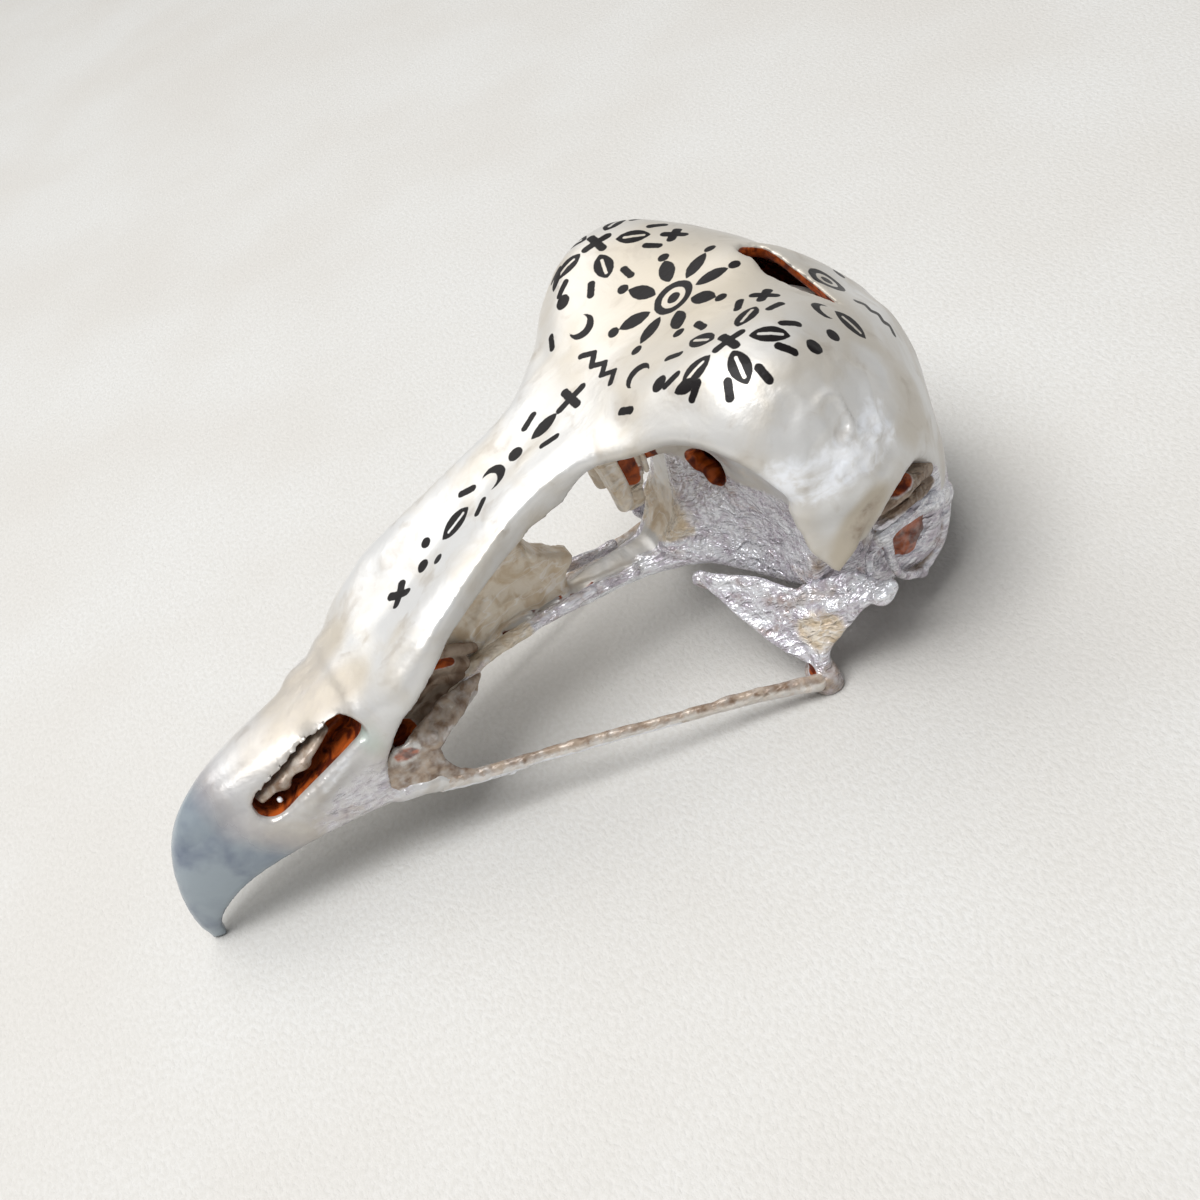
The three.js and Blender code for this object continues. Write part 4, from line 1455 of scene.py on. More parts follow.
    def _tints(self) -> tuple[Tint, ...]:
        """Patches of finish, and of painted highlight, that follow no opening."""
        return (
            *patches(Coat.SILVER, ((12.8, 4.6, 6.6), (14.6, 4.9, 7.4), (17.0, 5.2, 8.0)), 0.8, 3.0, 0.5),
            # Painted highlights: white along the ridge under the nostril and along the bill's cutting edge.
            *patches(Coat.GLINT, ((12.8, 4.5, 9.6), (15.8, 4.9, 11.2)), 0.1, 0.5, 0.6),
            *patches(Coat.GLINT, ((13.0, 4.9, 5.6), (15.0, 5.2, 5.6), (17.0, 5.4, 5.6)), 0.2, 0.5, 0.55),
            *patches(Coat.HORN, ((15.6, 1.2, 14.2), (17.6, 3.0, 14.2), (19.6, 4.6, 13.2)), 0.1, 1.3, 0.3),
            *patches(Coat.GREEN, ((17.3, 4.6, 11.4), (18.3, 4.4, 12.6)), 0.5, 1.1, 1.0),
            *patches(
                Coat.IVORY, ((50.8, 16.2, 15.6), (49.2, 16.4, 14.0), (48.2, 16.4, 12.8)), 0.9, 0.9, 1.0
            ),
            *patches(Coat.TAUPE, ((50.8, 16.2, 15.4), (49.4, 16.4, 14.0)), 0.4, 0.8, 0.4),
            # Whiter paint on the temple lumps, with a painted highlight laid in it.
            *patches(
                Coat.GLINT, ((46.6, 15.2, 19.4), (49.6, 15.8, 18.8), (52.8, 14.6, 18.9)), 1.1, 1.6, 0.62
            ),
            # Painted highlight: white along the top of the rim of the orbit.
            *patches(
                Coat.GLINT, ((30.0, 7.2, 18.4), (36.0, 10.4, 20.4), (42.0, 13.4, 20.2)), 0.5, 1.8, 0.45
            ),
            *patches(Coat.IVORY, ((13.0, 1.2, 13.6), (16.0, 1.6, 14.2), (18.0, 2.4, 14.4)), 0.8, 2.0, 0.9),
            *patches(Coat.AMBER, ((47.0, 12.6, 7.9), (50.6, 12.8, 8.3)), 0.3, 0.5, 1.0),
            *patches(Coat.TAUPE, ((43.8, 9.8, 8.4), (45.4, 11.4, 9.2), (47.0, 12.4, 9.2)), 0.7, 1.4, 0.7),
            *patches(Coat.AMBER, ((46.8, 12.7, 10.0), (47.7, 12.6, 9.2)), 0.15, 0.3, 1.0),
            *patches(
                Coat.THIN, ((45.6, 7.0, 17.2), (46.4, 11.0, 15.4), (46.8, 13.4, 12.8)), 0.2, 1.2, 0.35
            ),
            *patches(Coat.AMBER, ((28.6, 1.2, 10.1), (30.8, 1.2, 10.2)), 0.2, 0.4, 1.0),
            *patches(Coat.AMBER, ((31.4, 1.0, 10.1), (33.0, 1.0, 10.1)), 0.1, 0.3, 0.8),
            *patches(Coat.AMBER, ((33.8, 1.0, 9.7), (35.4, 1.0, 9.7)), 0.1, 0.3, 0.8),
            # Whiter paint on the lumps between the orbits, with a painted highlight.
            *patches(Coat.GLINT, ((26.2, 1.5, 14.2), (28.0, 1.4, 15.1)), 0.4, 0.5, 0.8),
            # Painted highlight: white along the rear of the beam.
            *patches(Coat.GLINT, ((35.0, 1.0, 8.4), (39.6, 1.6, 7.8)), 0.3, 0.5, 0.8),
            *patches(Coat.AMBER, ((41.3, 0.8, 19.0), (41.2, 0.8, 15.4)), 0.4, 0.4, 1.0),
            *patches(Coat.AMBER, ((43.0, 1.4, 18.0), (42.6, 1.2, 15.4)), 0.4, 0.4, 1.0),
            # Painted highlights: white at the back of the ear opening and across the back of the orbit.
            *patches(Coat.GLINT, ((58.0, 9.4, 7.4), (58.9, 8.4, 4.4)), 0.4, 0.8, 0.7),
            *patches(Coat.GLINT, ((44.6, 5.0, 13.2), (45.6, 8.0, 12.0), (46.2, 10.4, 11.6)), 0.2, 0.9, 0.5),
        )

    def _roughen(self, skin: Skin) -> None:
        """Gives the smooth solid the lumps and crinkles of the real bone."""
        points = skin.points
        soft, sharp = Noise(3), Noise(11)
        middle, spread = self.temple
        off = (points - middle) / spread
        temple = np.exp(-(off[:, 0] ** 2 + off[:, 2] ** 2)) * step_up(np.abs(points[:, 1]), 10.5, 13)
        thin = self._thin(points)
        amount = 0.06 * soft.layered(points, 5.0, 2)
        amount += temple * np.clip(0.25 - 0.9 * np.abs(soft.layered(points + 20, 2.2, 2)), -0.3, 0.3)
        amount += self._silver(points) * 0.07 * sharp.layered(points, 1.0, 3)
        amount += thin * 0.2 * sharp.layered(points + 9, 1.5, 3)
        skin.push(amount)

    def _silver(self, points: np.ndarray) -> np.ndarray:
        """Where the bone is bare and silvered: low in the orbits, round the ears and along the beam."""
        back, side, height = points[:, 0], np.abs(points[:, 1]), points[:, 2]
        orbit = 1 - step_up(np.abs(self.orbits.distance(points)), 0.4, 1.0)
        low = (1 - step_up(height + 0.22 * (side - 6), 14.4, 16.2)) * (1 - step_up(side, 13.0, 14.4))
        rear = step_up(back, 37, 41)
        under = step_up(back, 20, 24) * (1 - step_up(height, 7.0, 10.5))
        around = step_up(back, 51.0, 53.0) * (1 - step_up(side, 13.0, 14.6))
        ear = (1 - step_up(self.ears.distance(points), 0.2, 0.9)) * (1 - step_up(height, 10.5, 13.5))
        ear = ear * np.maximum(around, 1 - step_up(height, 7, 9))
        hollow = (1 - step_up(self.hollows.distance(points), 0.2, 0.8)) * (1 - step_up(height, 9.5, 11.5))
        return np.clip(np.maximum.reduce([orbit * low * rear, under, ear, hollow]), 0, 1)

    def _thin(self, points: np.ndarray) -> np.ndarray:
        """Where the bone between the orbits is so thin that light comes through."""
        back, side, height = points[:, 0], np.abs(points[:, 1]), points[:, 2]
        roof = np.interp(back, (17.5, 24.0, 33.0, 40.5, 45.2), (14.4, 16.8, 20.7, 22.9, 24.3))
        sunk = 1 - step_up(height - roof, -2.6, -1.6)
        width = np.interp(back, (21, 30, 40, 46), (2.6, 2.0, 3.0, 4.6))
        between = step_up(back, 21, 22.5) * (1 - step_up(back, 41.6, 44.4))
        return sunk * between * (1 - step_up(side - width, 0, 0.8)) * step_up(height, 9.7, 10.6)

    def _masks(self, skin: Skin) -> dict[str, np.ndarray]:
        """Where each finish shows on the skin."""
        points = skin.points
        back, side, height = points[:, 0], np.abs(points[:, 1]), points[:, 2]
        sunk = -np.minimum(self.cranium.distance(points), self.bill.distance(points))
        nostril = 1 - step_up(self.nostrils.distance(points), 0.1, 0.35)
        window = (1 - step_up(self.windows.distance(points), 0.15, 0.5)) * (1 - step_up(back, 21, 23.5))
        brain = 1 - step_up(np.abs(self.brain.distance(points)), 0.3, 0.6)
        hole = (1 - step_up(self.hole.distance(points), 0.1, 0.3)) * 0.9
        optic = 1 - step_up(self.optics.distance(points), 0.1, 0.4)
        amber = np.maximum.reduce(
            [
                nostril * step_up(sunk, 0.35, 0.7),
                window * step_up(sunk, 1.2, 2.0),
                brain * step_up(sunk, 0.5, 0.9),
                hole * step_up(sunk, 0.15, 0.4),
                optic * step_up(sunk, 0.5, 1.0),
            ]
        )
        boundary = np.interp(height, (3.0, 4.5, 9.0, 12.0), (11.8, 10.6, 6.9, 6.2))
        horn = np.clip((boundary + 3.4 - back) / 6.0, 0, 1)
        horn = np.maximum(horn, 0.3 * (1 - step_up(back, 16.0, 21.0)))
        ivory = np.exp(-(((back - 50) / 9) ** 2 + ((side - 3) / 8) ** 2)) * step_up(height, 20, 23)
        masks = {
            Coat.AMBER: amber,
            Coat.SILVER: self._silver(points),
            Coat.HORN: horn,
            Coat.THIN: self._thin(points),
            Coat.IVORY: ivory,
        }
        return finished(masks, self._tints(), points)

    def build(self, ornament: Ornament, finish: bpy.types.Material) -> bpy.types.Object:
        """Builds and dresses the bone.

        Args:
            ornament: the ink on its roof.
            finish: its paint.

        Returns:
            The finished piece.
        """
        skin = skin_of(self._volume(), 2)
        front, rear, low = self.hinge
        hinge = (skin.points[:, 0] > front) & (skin.points[:, 0] < rear) & (skin.points[:, 2] > low)
        skin.relax(hinge, self.hinge_rounds)
        openings = Joined((self.nostrils, self.hole, self.optics), 0.01)
        rims = np.abs(openings.distance(skin.points)) < self.rim_band
        skin.refine(rims[skin.faces].any(axis=1))
        skin.smooth(1, floor=self.pitch)
        self._roughen(skin)
        ink = self._ink(skin, ornament)
        for width in self.ink_bands:
            nearest = ink[skin.faces].min(axis=1)
            skin.refine((np.abs(ink[skin.faces]).min(axis=1) < width) & (nearest < 1))
            ink = self._ink(skin, ornament)
        masks = self._masks(skin)
        masks[INK_MASK] = ink
        piece = skin.piece("fused_skull", masks)
        piece.data.materials.append(finish)
        return piece

    def _ink(self, skin: Skin, ornament: Ornament) -> np.ndarray:
        """The ornament's distances on the skin's outside."""
        outer = self.cranium.distance(skin.points) > -0.6
        return ornament.ink(skin.points, skin.normals(), outer)


def finished(
    masks: dict[Coat, np.ndarray], tints: tuple[Tint, ...], points: np.ndarray
) -> dict[str, np.ndarray]:
    """Adds patches to the masks, lets the later finishes cover the earlier, and names them all.

    Args:
        masks: strength of some finishes at each point.
        tints: patches that are laid over them.
        points: the skin's points.

    Returns:
        Every finish's strength at each point, by the name of its mask.
    """
    full = {coat: masks.get(coat, np.zeros(len(points))) for coat in Coat}
    for tint in tints:
        full[tint.coat] = np.maximum(full[tint.coat], tint.at(points))
    for coat in (Coat.SILVER, Coat.HORN, Coat.THIN, Coat.TAUPE):
        full[coat] = full[coat] * (1 - full[Coat.AMBER])
    return {coat.value: values for coat, values in full.items()}


# ---- The finer bones ----------------------------------------------------------------------------


@dataclass(frozen=True)
class FinePiece:
    """A small bone or a fine part of one, made of joined shapes on one side of the skull.

    Args:
        name: its name, without its side.
        nodes: the solids that it stands for, with {side} where theirs have a side.
        slot: the record's material slot; not used.
        joined: what it is joined from, on the left side.
        carved: what is taken out of it.
        coats: how strong each finish is all over it.
        tints: patches of finish, and of painted highlight, on it.
        pitch: distance between samples of its volume.
        rough: depth of its crinkles.
        grain: size of its crinkles.
        blend: width of its fillets.
    """

    name: str
    nodes: tuple[str, ...]
    slot: str
    joined: tuple[Shape, ...]
    carved: tuple[Shape, ...] = ()
    coats: tuple[tuple[Coat, float], ...] = ((Coat.SILVER, 1.0),)
    tints: tuple[Tint, ...] = ()
    pitch: float = 0.17
    rough: float = 0.08
    grain: float = 0.9
    blend: float = 0.5

    def build(self, side: str, finish: bpy.types.Material) -> bpy.types.Object:
        """Builds the piece on one side.

        Args:
            side: left or right.
            finish: its material.

        Returns:
            The finished piece.
        """
        low, high = Joined(self.joined).reach()
        volume = Volume(low - 1, high + 1, self.pitch)
        for part in self.joined:
            volume.join(part, self.blend)
        for cut in self.carved:
            volume.carve(cut, self.blend * 0.5)
        volume.floor()
        skin = skin_of(volume, 2)
        skin.push(self.rough * Noise(17).layered(skin.points, self.grain, 3))
        whole = {coat: np.full(len(skin.points), strength) for coat, strength in self.coats}
        masks = finished(whole, self.tints, skin.points)
        masks[INK_MASK] = np.full(len(skin.points), NO_INK)
        if SIDES[side] < 0:
            skin.points = skin.points * (1, -1, 1)
            skin.faces = skin.faces[:, ::-1]
        piece = skin.piece(f"{self.name}_{side}", masks)
        piece.data.materials.append(finish)
        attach(piece, "root")
        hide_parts(*(node.format(side=side) for node in self.nodes))
        return piece


def cheek_bar() -> FinePiece:
    """The thin bar from the bill to the quadrate."""
    route = (
        (19.4, 5.45, 5.45), (22, 6.05, 4.75), (27, 7.4, 4.1),
        (35, 9.9, 3.0), (41, 11.6, 2.1), (44.4, 12.7, 1.3),
    )
    bar = Rod(route, (0.5, 0.4, 0.36, 0.36, 0.4, 0.55), (0.7, 0.55, 0.52, 0.52, 0.55, 0.7), links=24)
    low_edge = tuple((s, y + 0.25, z - 0.35) for s, y, z in route)
    high_edge = tuple((s, y + 0.1, z + 0.45) for s, y, z in route)
    tints = (
        Tint(Coat.TAUPE, wire(high_edge, 0.2, links=20), 0.5, 0.62),
        # Painted highlight: white glints along the lower edge of the bar.
        Tint(Coat.GLINT, wire(low_edge[:4], 0.1, links=20), 0.35, 0.7),
    )
    coats = ((Coat.SILVER, 0.4), (Coat.THIN, 0.42))
    return FinePiece(
        name="cheek_bar_bone",
        nodes=("cheek_bar_{side}",),
        slot="thin",
        joined=(bar,),
        coats=coats,
        tints=tints,
        pitch=0.16,
        rough=0.07,
        grain=1.3,
    )


def palatine() -> FinePiece:
    """The bar of the palate, just under the beam."""
    route = (
        (19.4, 3.0, 7.3), (22, 2.9, 8.8), (25, 2.5, 10.2),
        (29.5, 2.3, 10.3), (34, 2.0, 10.0), (38.4, 1.9, 9.4),
    )
    bar = Rod(route, (0.9, 0.9, 0.8, 0.6, 0.45, 0.35), (0.4, 0.4, 0.45, 0.5, 0.45, 0.4))
    coats = ((Coat.SILVER, 0.8),)
    tints = (Tint(Coat.THIN, wire(route[:4], 0.5), 0.6, 0.8),)
    return FinePiece(
        name="palatine_bone",
        nodes=("palatine_{side}",),
        slot="silver",
        joined=(bar,),
        coats=coats,
        tints=tints,
        pitch=0.17,
        rough=0.14,
        grain=1.1,
    )


def pterygoid() -> FinePiece:
    """The strut from the quadrate to the beam."""
    bar = Rod(
        ((45.2, 10.4, 2.0), (44.4, 8.2, 3.8), (43.2, 5.6, 5.8), (42.0, 3.4, 7.0)),
        (0.7, 0.45, 0.45, 0.6),
        (0.6, 0.5, 0.5, 0.5),
    )
    return FinePiece(
        name="pterygoid_bone",
        nodes=("pterygoid_{side}",),
        slot="silver",
        joined=(bar,),
    )


def quadrate() -> FinePiece:
    """The bone of the jaw joint: a foot, a fan of thin bone, and a bar with a knob."""
    blade = (
        (45.6, 12.0, 2.6), (46.8, 11.6, 5.6), (46.2, 10.6, 7.2), (44.4, 8.8, 8.3), (41.8, 5.2, 8.8),
        (43.0, 8.0, 5.2), (44.0, 10.4, 3.2),
    )
    shelf = ((46.0, 10.6, 5.8), (46.4, 10.4, 7.4), (49.6, 12.8, 8.0), (50.6, 14.6, 7.2), (48.0, 13.0, 6.2))
    joined = (
        Rod(((45.2, 12.3, 0.3), (45.4, 12.0, 2.4), (46.2, 11.6, 4.6)), (1.0, 0.7, 0.8), (0.9, 0.65, 0.6)),
        Rod(
            ((45.8, 10.8, 5.6), (48.0, 13.0, 6.4), (50.2, 14.8, 6.9)),
            (0.5, 0.46, 0.55),
            (0.45, 0.42, 0.5),
            links=8,
        ),
        Plate(blade, 0.28),
        Plate(((45.6, 12.0, 2.6), (46.8, 12.6, 3.8), (48.9, 14.2, 6.4), (46.4, 11.2, 5.6)), 0.28),
        Plate(shelf, 0.28),
        wire(((45.2, 12.0, 2.0), (43.8, 10.2, 3.6), (42.8, 8.0, 5.6), (41.8, 5.4, 8.3)), 0.32),
        Ball((45.1, 11.8, 1.0), (1.1, 1.5, 1.1)),
        Ball((50.0, 14.7, 6.7), (0.75, 0.6, 0.65)),
        Ball((50.8, 14.9, 7.2), (0.4, 0.45, 0.5)),
    )
    tints = (
        # Painted highlights: white along the top bar, on the knob and on the edge of the fan.
        Tint(Coat.GLINT, wire(((46.6, 11.7, 6.2), (49.4, 14.2, 7.0)), 0.1), 0.3, 0.8),
        Tint(Coat.GLINT, Ball((50.4, 15.0, 7.1), (0.6, 0.6, 0.6)), 0.5, 0.6),
        Tint(Coat.GLINT, wire(((42.4, 6.4, 8.2), (44.6, 9.2, 7.4)), 0.2), 0.6, 0.5),
        Tint(Coat.THIN, Ball((46.4, 12.0, 4.6), (1.2, 1.2, 0.8)), 1.6, 0.7),
        Tint(Coat.TAUPE, wire(((45.6, 10.4, 6.6), (47.6, 12.2, 7.4)), 0.3), 0.7, 0.45),
        Tint(Coat.SILVER, wire(((45.2, 12.2, 2.4), (43.8, 10.2, 3.4), (42.6, 7.6, 5.8)), 0.4), 0.7, 1.0),
        Tint(Coat.TAUPE, Ball((45.2, 12.2, 0.9), (1.4, 1.6, 1.2)), 0.8, 0.55),
        Tint(Coat.AMBER, Ball((43.6, 11.2, 4.1), (0.5, 0.5, 0.25)), 0.35, 1.0),
        Tint(Coat.AMBER, Ball((44.3, 12.2, 2.3), (0.2, 0.5, 0.5)), 0.3, 1.0),
    )
    coats = ((Coat.SILVER, 0.85),)
    return FinePiece(
        name="quadrate_bone",
        nodes=("quadrate_{side}",),
        slot="silver",
        joined=joined,
        coats=coats,
        tints=tints,
        pitch=0.17,
        rough=0.08,
        grain=1.3,
        blend=0.35,
    )


def window_web() -> FinePiece:
    """The flat web of thin bone in the corner of the opening before the orbit."""
    web = Plate(
        ((16.4, 4.9, 7.2), (16.8, 4.9, 9.0), (18.0, 5.1, 9.8), (19.4, 5.3, 9.5), (20.9, 5.5, 9.4),
         (20.5, 5.5, 8.4), (20.4, 5.5, 7.2), (21.0, 5.7, 5.9), (22.4, 5.9, 5.0), (24.2, 6.5, 4.6),
         (24.0, 6.5, 4.1), (21.6, 5.9, 4.4), (18.5, 5.3, 5.6)),
        0.3,
    )
    edge = wire(((17.0, 5.1, 6.5), (19.0, 5.4, 5.4), (21.6, 5.9, 4.5), (24.0, 6.5, 4.0)), 0.3)
    leaf = Plate(
        ((18.4, 5.2, 9.7), (20.9, 5.5, 8.6), (23.0, 4.5, 9.2), (25.2, 2.9, 9.8), (22.4, 4.2, 10.6)), 0.26
    )
    lip = wire(((20.7, 5.5, 8.6), (22.4, 4.7, 9.0), (24.2, 3.6, 9.4), (25.3, 2.9, 9.8)), 0.26)
    tints = (
        # Painted highlights: white along the lower edge and the lip of the web.
        Tint(Coat.GLINT, edge, 0.4, 0.8),
        Tint(Coat.GLINT, lip, 0.15, 0.5),
        Tint(Coat.AMBER, Ball((18.6, 5.2, 9.2), (0.8, 0.6, 0.4)), 0.6, 0.55),
    )
    coats = ((Coat.TAUPE, 0.62), (Coat.SILVER, 0.3))
    joined = (web, edge, leaf, lip)
    return FinePiece(
        name="window_web",
        nodes=("bill", "forehead"),
        slot="thin",
        joined=joined,
        coats=coats,
        tints=tints,
        pitch=0.16,
        rough=0.1,
        grain=1.1,
        blend=0.4,
    )


def palate_scroll() -> FinePiece:
    """The cupped leaf of thin bone that stands out from the palate before the orbit."""
    joined = (
        Rod(
            ((18.2, 3.0, 8.2), (20.5, 2.9, 9.1), (22.8, 2.8, 9.9), (25.0, 2.7, 9.9)),
            (0.5, 1.2, 1.2, 0.35),
            (0.6, 1.4, 1.4, 0.4),
        ),
        wire(((17.8, 3.8, 6.9), (21.2, 3.7, 7.9), (24.4, 3.2, 8.8), (25.3, 2.9, 9.9)), 0.26),
        wire(((23.0, 0.8, 10.8), (22.6, 2.2, 10.2)), 0.5),
        wire(((22.4, 2.0, 11.6), (23.8, 2.2, 11.4), (25.0, 2.4, 10.8)), 0.45),
        wire(((23.2, 1.8, 12.4), (24.6, 1.9, 12.0), (26.0, 2.0, 11.2)), 0.4),
    )
    carved = (
        Rod(
            ((17.6, 4.5, 8.7), (20.4, 4.5, 9.8), (22.8, 4.4, 10.6), (25.0, 4.4, 11.0)),
            (1.4, 1.6, 1.6, 1.2),
            (1.2, 1.4, 1.4, 1.0),
        ),
    )
    tints = (
        # Painted highlight: white along the scroll's lower rim.
        Tint(Coat.GLINT, wire(((18.2, 3.9, 7.0), (21.2, 3.9, 7.9), (24.4, 3.4, 8.8)), 0.2), 0.3, 0.9),
        Tint(Coat.THIN, wire(((23.0, 1.9, 12.2), (25.0, 2.3, 11.2), (25.2, 2.9, 10.0)), 0.5), 0.5, 0.9),
        Tint(Coat.AMBER, Ball((19.0, 3.2, 9.0), (0.8, 1.0, 0.9)), 0.6, 0.9),
        Tint(Coat.AMBER, wire(((22.8, 2.3, 12.0), (24.2, 2.5, 11.6)), 0.15), 0.4, 0.8),
        # Painted highlight: a small white glint on the scroll.
        Tint(Coat.GLINT, wire(((20.6, 3.4, 10.4), (21.8, 3.4, 11.0)), 0.1), 0.3, 0.8),
    )
    coats = ((Coat.TAUPE, 0.85),)
    return FinePiece(
        name="palate_scroll",
        nodes=("forehead",),
        slot="thin",
        joined=joined,
        carved=carved,
        coats=coats,
        tints=tints,
        pitch=0.15,
        rough=0.06,
        grain=1.0,
        blend=0.3,
    )


def nostril_shelf() -> FinePiece:
    """The wavy ledge of bone inside the nostril."""
    joined = (
        Rod(
            ((9.0, 1.9, 10.2), (11.2, 2.2, 11.0), (13.2, 2.5, 11.8), (14.8, 2.6, 12.5)),
            (1.1, 1.2, 1.1, 0.6),
            (0.45, 0.5, 0.42, 0.3),
        ),
        Ball((9.8, 2.9, 9.6), (0.28, 0.3, 0.26)),
        Ball((10.7, 2.9, 10.6), (0.4, 0.5, 0.4)),
        Ball((12.4, 3.1, 11.3), (0.5, 0.5, 0.3)),
    )
    tints = (
        Tint(Coat.SILVER, wire(((10.4, 3.6, 11.2), (12.4, 3.8, 11.9), (14.4, 3.6, 12.8)), 0.2), 0.6, 0.5),
        # Painted highlight: a tiny white glint on the front of the shelf.
        Tint(Coat.GLINT, Ball((9.8, 3.1, 9.7), (0.2, 0.2, 0.2)), 0.2, 1.0),
    )
    coats = ((Coat.TAUPE, 0.62),)
    return FinePiece(
        name="nostril_shelf",
        nodes=("bill",),
        slot="silver",
        joined=joined,
        coats=coats,
        tints=tints,
        pitch=0.15,
        rough=0.1,
        grain=1.6,
        blend=0.4,
    )


def orbit_pendant() -> FinePiece:
    """The ribbed column that hangs from the roof between the orbits."""
    joined = (
        Rod(
            ((39.4, 1.3, 20.0), (39.7, 1.7, 17.4), (39.8, 1.9, 15.6), (39.7, 1.9, 14.6)),
            (0.8, 0.7, 0.7, 0.55),
            (0.8, 0.75, 0.75, 0.6),
        ),
        wire(((39.1, 2.1, 19.6), (39.3, 2.4, 17.2), (39.4, 2.4, 15.2)), 0.2),
        wire(((40.0, 2.1, 19.6), (40.2, 2.4, 17.2), (40.2, 2.4, 15.2)), 0.2),
        wire(((42.1, 1.0, 19.4), (42.3, 1.2, 17.2), (42.2, 1.2, 15.6)), 0.22),
    )
    coats = ((Coat.THIN, 0.6), (Coat.SILVER, 0.3))
    return FinePiece(
        name="orbit_pendant",
        nodes=("forehead", "braincase"),
        slot="thin",
        joined=joined,
        coats=coats,
        tints=(),
        pitch=0.15,
        rough=0.05,
        grain=1.2,
        blend=0.25,
    )


def ear_folds() -> FinePiece:
    """The folds of bone in the ear opening."""
    joined = (
        Rod(((51.2, 14.6, 13.4), (53.6, 14.0, 13.2), (56.2, 12.4, 12.2)), (0.9, 1.0, 0.8), (0.6, 0.7, 0.6)),
        Rod(
            ((51.6, 13.8, 11.4), (54.0, 13.2, 11.4), (56.4, 12.0, 10.6)),
            (0.7, 0.8, 0.7),
            (0.45, 0.55, 0.55),
        ),
        Rod(
            ((51.6, 13.4, 9.9), (54.0, 13.0, 9.9), (56.4, 12.0, 9.0), (58.2, 10.2, 7.6)),
            (0.4, 0.5, 0.7, 0.7),
            (0.4, 0.5, 0.7, 0.8),
        ),
        wire(((52.2, 13.4, 9.8), (52.0, 13.0, 7.6), (52.6, 12.6, 5.4), (54.4, 11.8, 3.9)), 0.34),
        wire(((51.8, 13.2, 9.6), (50.6, 13.2, 8.8), (50.2, 13.4, 7.6)), 0.3),
        Rod(
            ((57.8, 10.4, 8.6), (57.2, 11.0, 6.4), (56.4, 10.8, 4.6), (54.6, 11.2, 3.8)),
            (0.5, 0.6, 0.6, 0.5),
            (0.5,) * 4,
        ),
        Ball((53.9, 10.9, 6.8), (2.6, 0.7, 2.8)),
    )
    tints = (
        Tint(Coat.AMBER, Ball((54.2, 11.0, 7.0), (1.8, 1.6, 2.1)), 1.0, 0.56),
        Tint(Coat.TAUPE, Ball((54.2, 11.0, 7.0), (2.4, 1.6, 2.6)), 0.8, 0.9),
        Tint(Coat.AMBER, Ball((53.4, 14.2, 13.8), (1.2, 1.0, 0.4)), 0.5, 0.7),
        # Painted highlights: white along the edges of the folds.
        Tint(Coat.GLINT, wire(((55.4, 12.9, 9.6), (57.0, 11.8, 8.8), (58.2, 10.6, 7.6)), 0.3), 1.0, 0.55),
        Tint(Coat.GLINT, wire(((51.8, 13.8, 10.0), (53.2, 13.6, 10.2)), 0.2), 0.8, 0.5),
        Tint(Coat.TAUPE, wire(((51.4, 14.8, 13.0), (53.8, 14.2, 12.6), (56.0, 12.8, 11.8)), 0.8), 1.0, 1.0),
    )
    return FinePiece(
        name="ear_folds",
        nodes=("braincase",),
        slot="silver",
        joined=joined,
        coats=((Coat.SILVER, 0.9),),
        tints=tints,
        pitch=0.16,
        rough=0.1,
        grain=1.2,
        blend=0.4,
    )


def fine_pieces() -> tuple[FinePiece, ...]:
    """The loose bones and the fine parts of one side."""
    return (
        cheek_bar(),
        palatine(),
        pterygoid(),
        quadrate(),
        window_web(),
        palate_scroll(),
        nostril_shelf(),
        orbit_pendant(),
        ear_folds(),
    )


# ---- Studio -------------------------------------------------------------------------------------


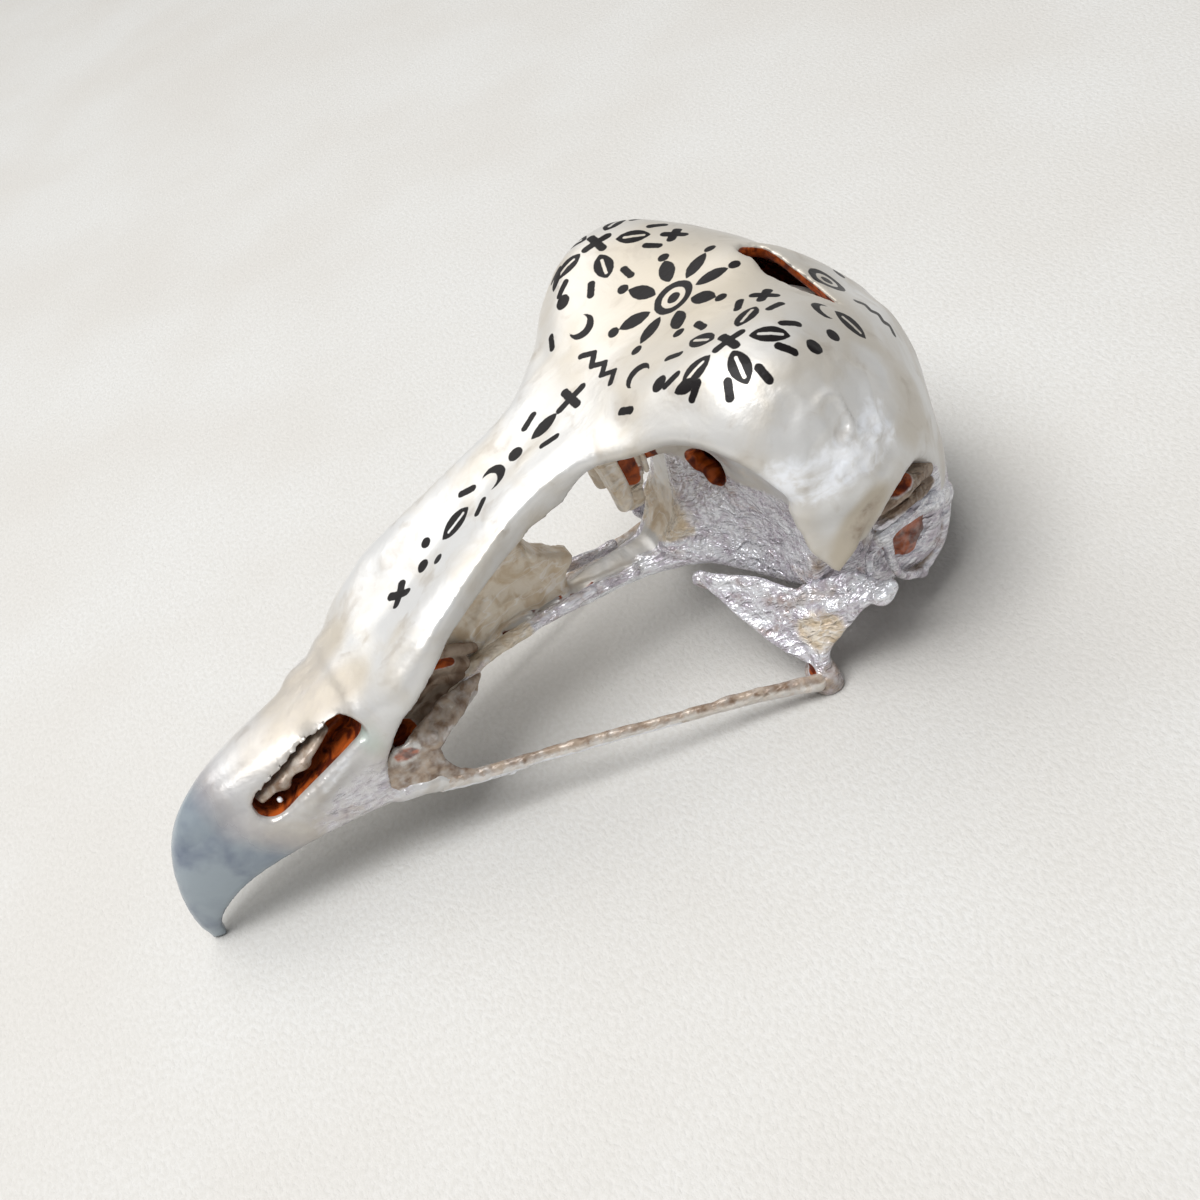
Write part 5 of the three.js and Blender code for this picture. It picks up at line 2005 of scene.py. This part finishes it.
@dataclass(frozen=True)
class Studio:
    """A pale floor, soft light and the camera.

    Args:
        camera_place: where the camera is, in metres.
        camera_right: its right-hand direction.
        camera_up: its upward direction.
        lens: focal length in millimetres.
        sensor: width of the sensor in millimetres.
        aim: the point that the lamps face, in metres.
        floor_size: length of the floor's side.
    """

    camera_place: Triple = (0.01064, 0.09425, 0.07997)
    camera_right: Triple = (-0.8418, 0.406, -0.3557)
    camera_up: Triple = (-0.5255, -0.466, 0.7118)
    lens: float = 51.0
    sensor: float = 36.0
    aim: Triple = (0, 0, 0.012)
    floor_size: float = 3.0

    def build(self) -> None:
        """Makes the camera, the lights, the surroundings and the floor."""
        self._camera()
        self._lights()
        self._floor()

    def _camera(self) -> None:
        """Sets the camera, rolled as the view is."""
        right, up = Vector(self.camera_right).normalized(), Vector(self.camera_up).normalized()
        back = right.cross(up)
        turn = Matrix((right, up, back)).transposed().to_4x4()
        data = bpy.data.cameras.new("camera")
        data.lens = self.lens
        data.sensor_width = self.sensor
        data.clip_start = 0.005
        camera = bpy.data.objects.new("camera", data)
        camera.matrix_world = Matrix.Translation(self.camera_place) @ turn
        bpy.context.scene.collection.objects.link(camera)
        bpy.context.scene.camera = camera

    def _lamp(self, name: str, place: Triple, size: float, power: float, colour: Triple) -> None:
        """Adds a square soft light that faces the skull."""
        data = bpy.data.lights.new(name, "AREA")
        data.size = size
        data.energy = power
        data.color = colour
        lamp = bpy.data.objects.new(name, data)
        lamp.location = place
        towards = Vector(self.aim) - Vector(place)
        lamp.rotation_euler = towards.to_track_quat("-Z", "Y").to_euler()
        bpy.context.scene.collection.objects.link(lamp)

    def _lights(self) -> None:
        """Adds the window light, a weak fill and the pale room."""
        self._lamp("window", place=(0.15, 0.12, 0.56), size=0.36, power=3.9, colour=(0.985, 0.99, 1.0))
        self._lamp("roof_window", place=(0.1, -0.36, 0.5), size=0.5, power=1.6, colour=(1.0, 0.985, 0.96))
        world = bpy.data.worlds.new("room")
        world.use_nodes = True
        background = world.node_tree.nodes["Background"]
        background.inputs["Color"].default_value = shade(228, 230, 232)
        background.inputs["Strength"].default_value = 0.42
        bpy.context.scene.world = world
        bpy.context.scene.view_settings.view_transform = "Standard"

    def _floor(self) -> None:
        """Lays a pale floor with the grain of thick paper."""
        half = self.floor_size / 2
        mesh = bpy.data.meshes.new("floor")
        corners = [(-half, -half, 0), (half, -half, 0), (half, half, 0), (-half, half, 0)]
        mesh.from_pydata(corners, [], [(0, 1, 2, 3)])
        floor = bpy.data.objects.new("floor", mesh)
        bpy.context.scene.collection.objects.link(floor)
        n = Nodes("paper")
        grain = n.noise(0.3, 4, 0.2, (1, 0.6, 1))
        colour = n.blend(n.rise(n.noise(30, 3), 0.3, 0.7), shade(201, 200, 197), shade(196, 193, 188))
        colour = n.blend(n.rise(grain, 0.3, 0.7, (0.0, 0.5)), colour, shade(186, 183, 177))
        inputs = {"Base Color": colour, "Roughness": 0.75, "Normal": n.relief(grain, 0.7, 0.16)}
        mesh.materials.append(n.finish(inputs))


# ---- Assembly -----------------------------------------------------------------------------------


def report(piece: bpy.types.Object) -> None:
    """Logs one finished piece."""
    LOG.info("%s: %d faces", piece.name, len(piece.data.polygons))


def main() -> None:
    """Builds the studio, then each bone."""
    Studio().build()
    skull = FusedSkull().build(Ornament(), PaintedBone("painted_bone").material())
    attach(skull, "root")
    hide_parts("bill_tip", "bill", "forehead", "braincase")
    report(skull)
    bare = PaintedBone("bare_bone").material()
    for fine in fine_pieces():
        for side in SIDES:
            report(fine.build(side, bare))


if __name__ == "__main__":
    logging.basicConfig(level=logging.INFO, format="%(message)s")
    main()
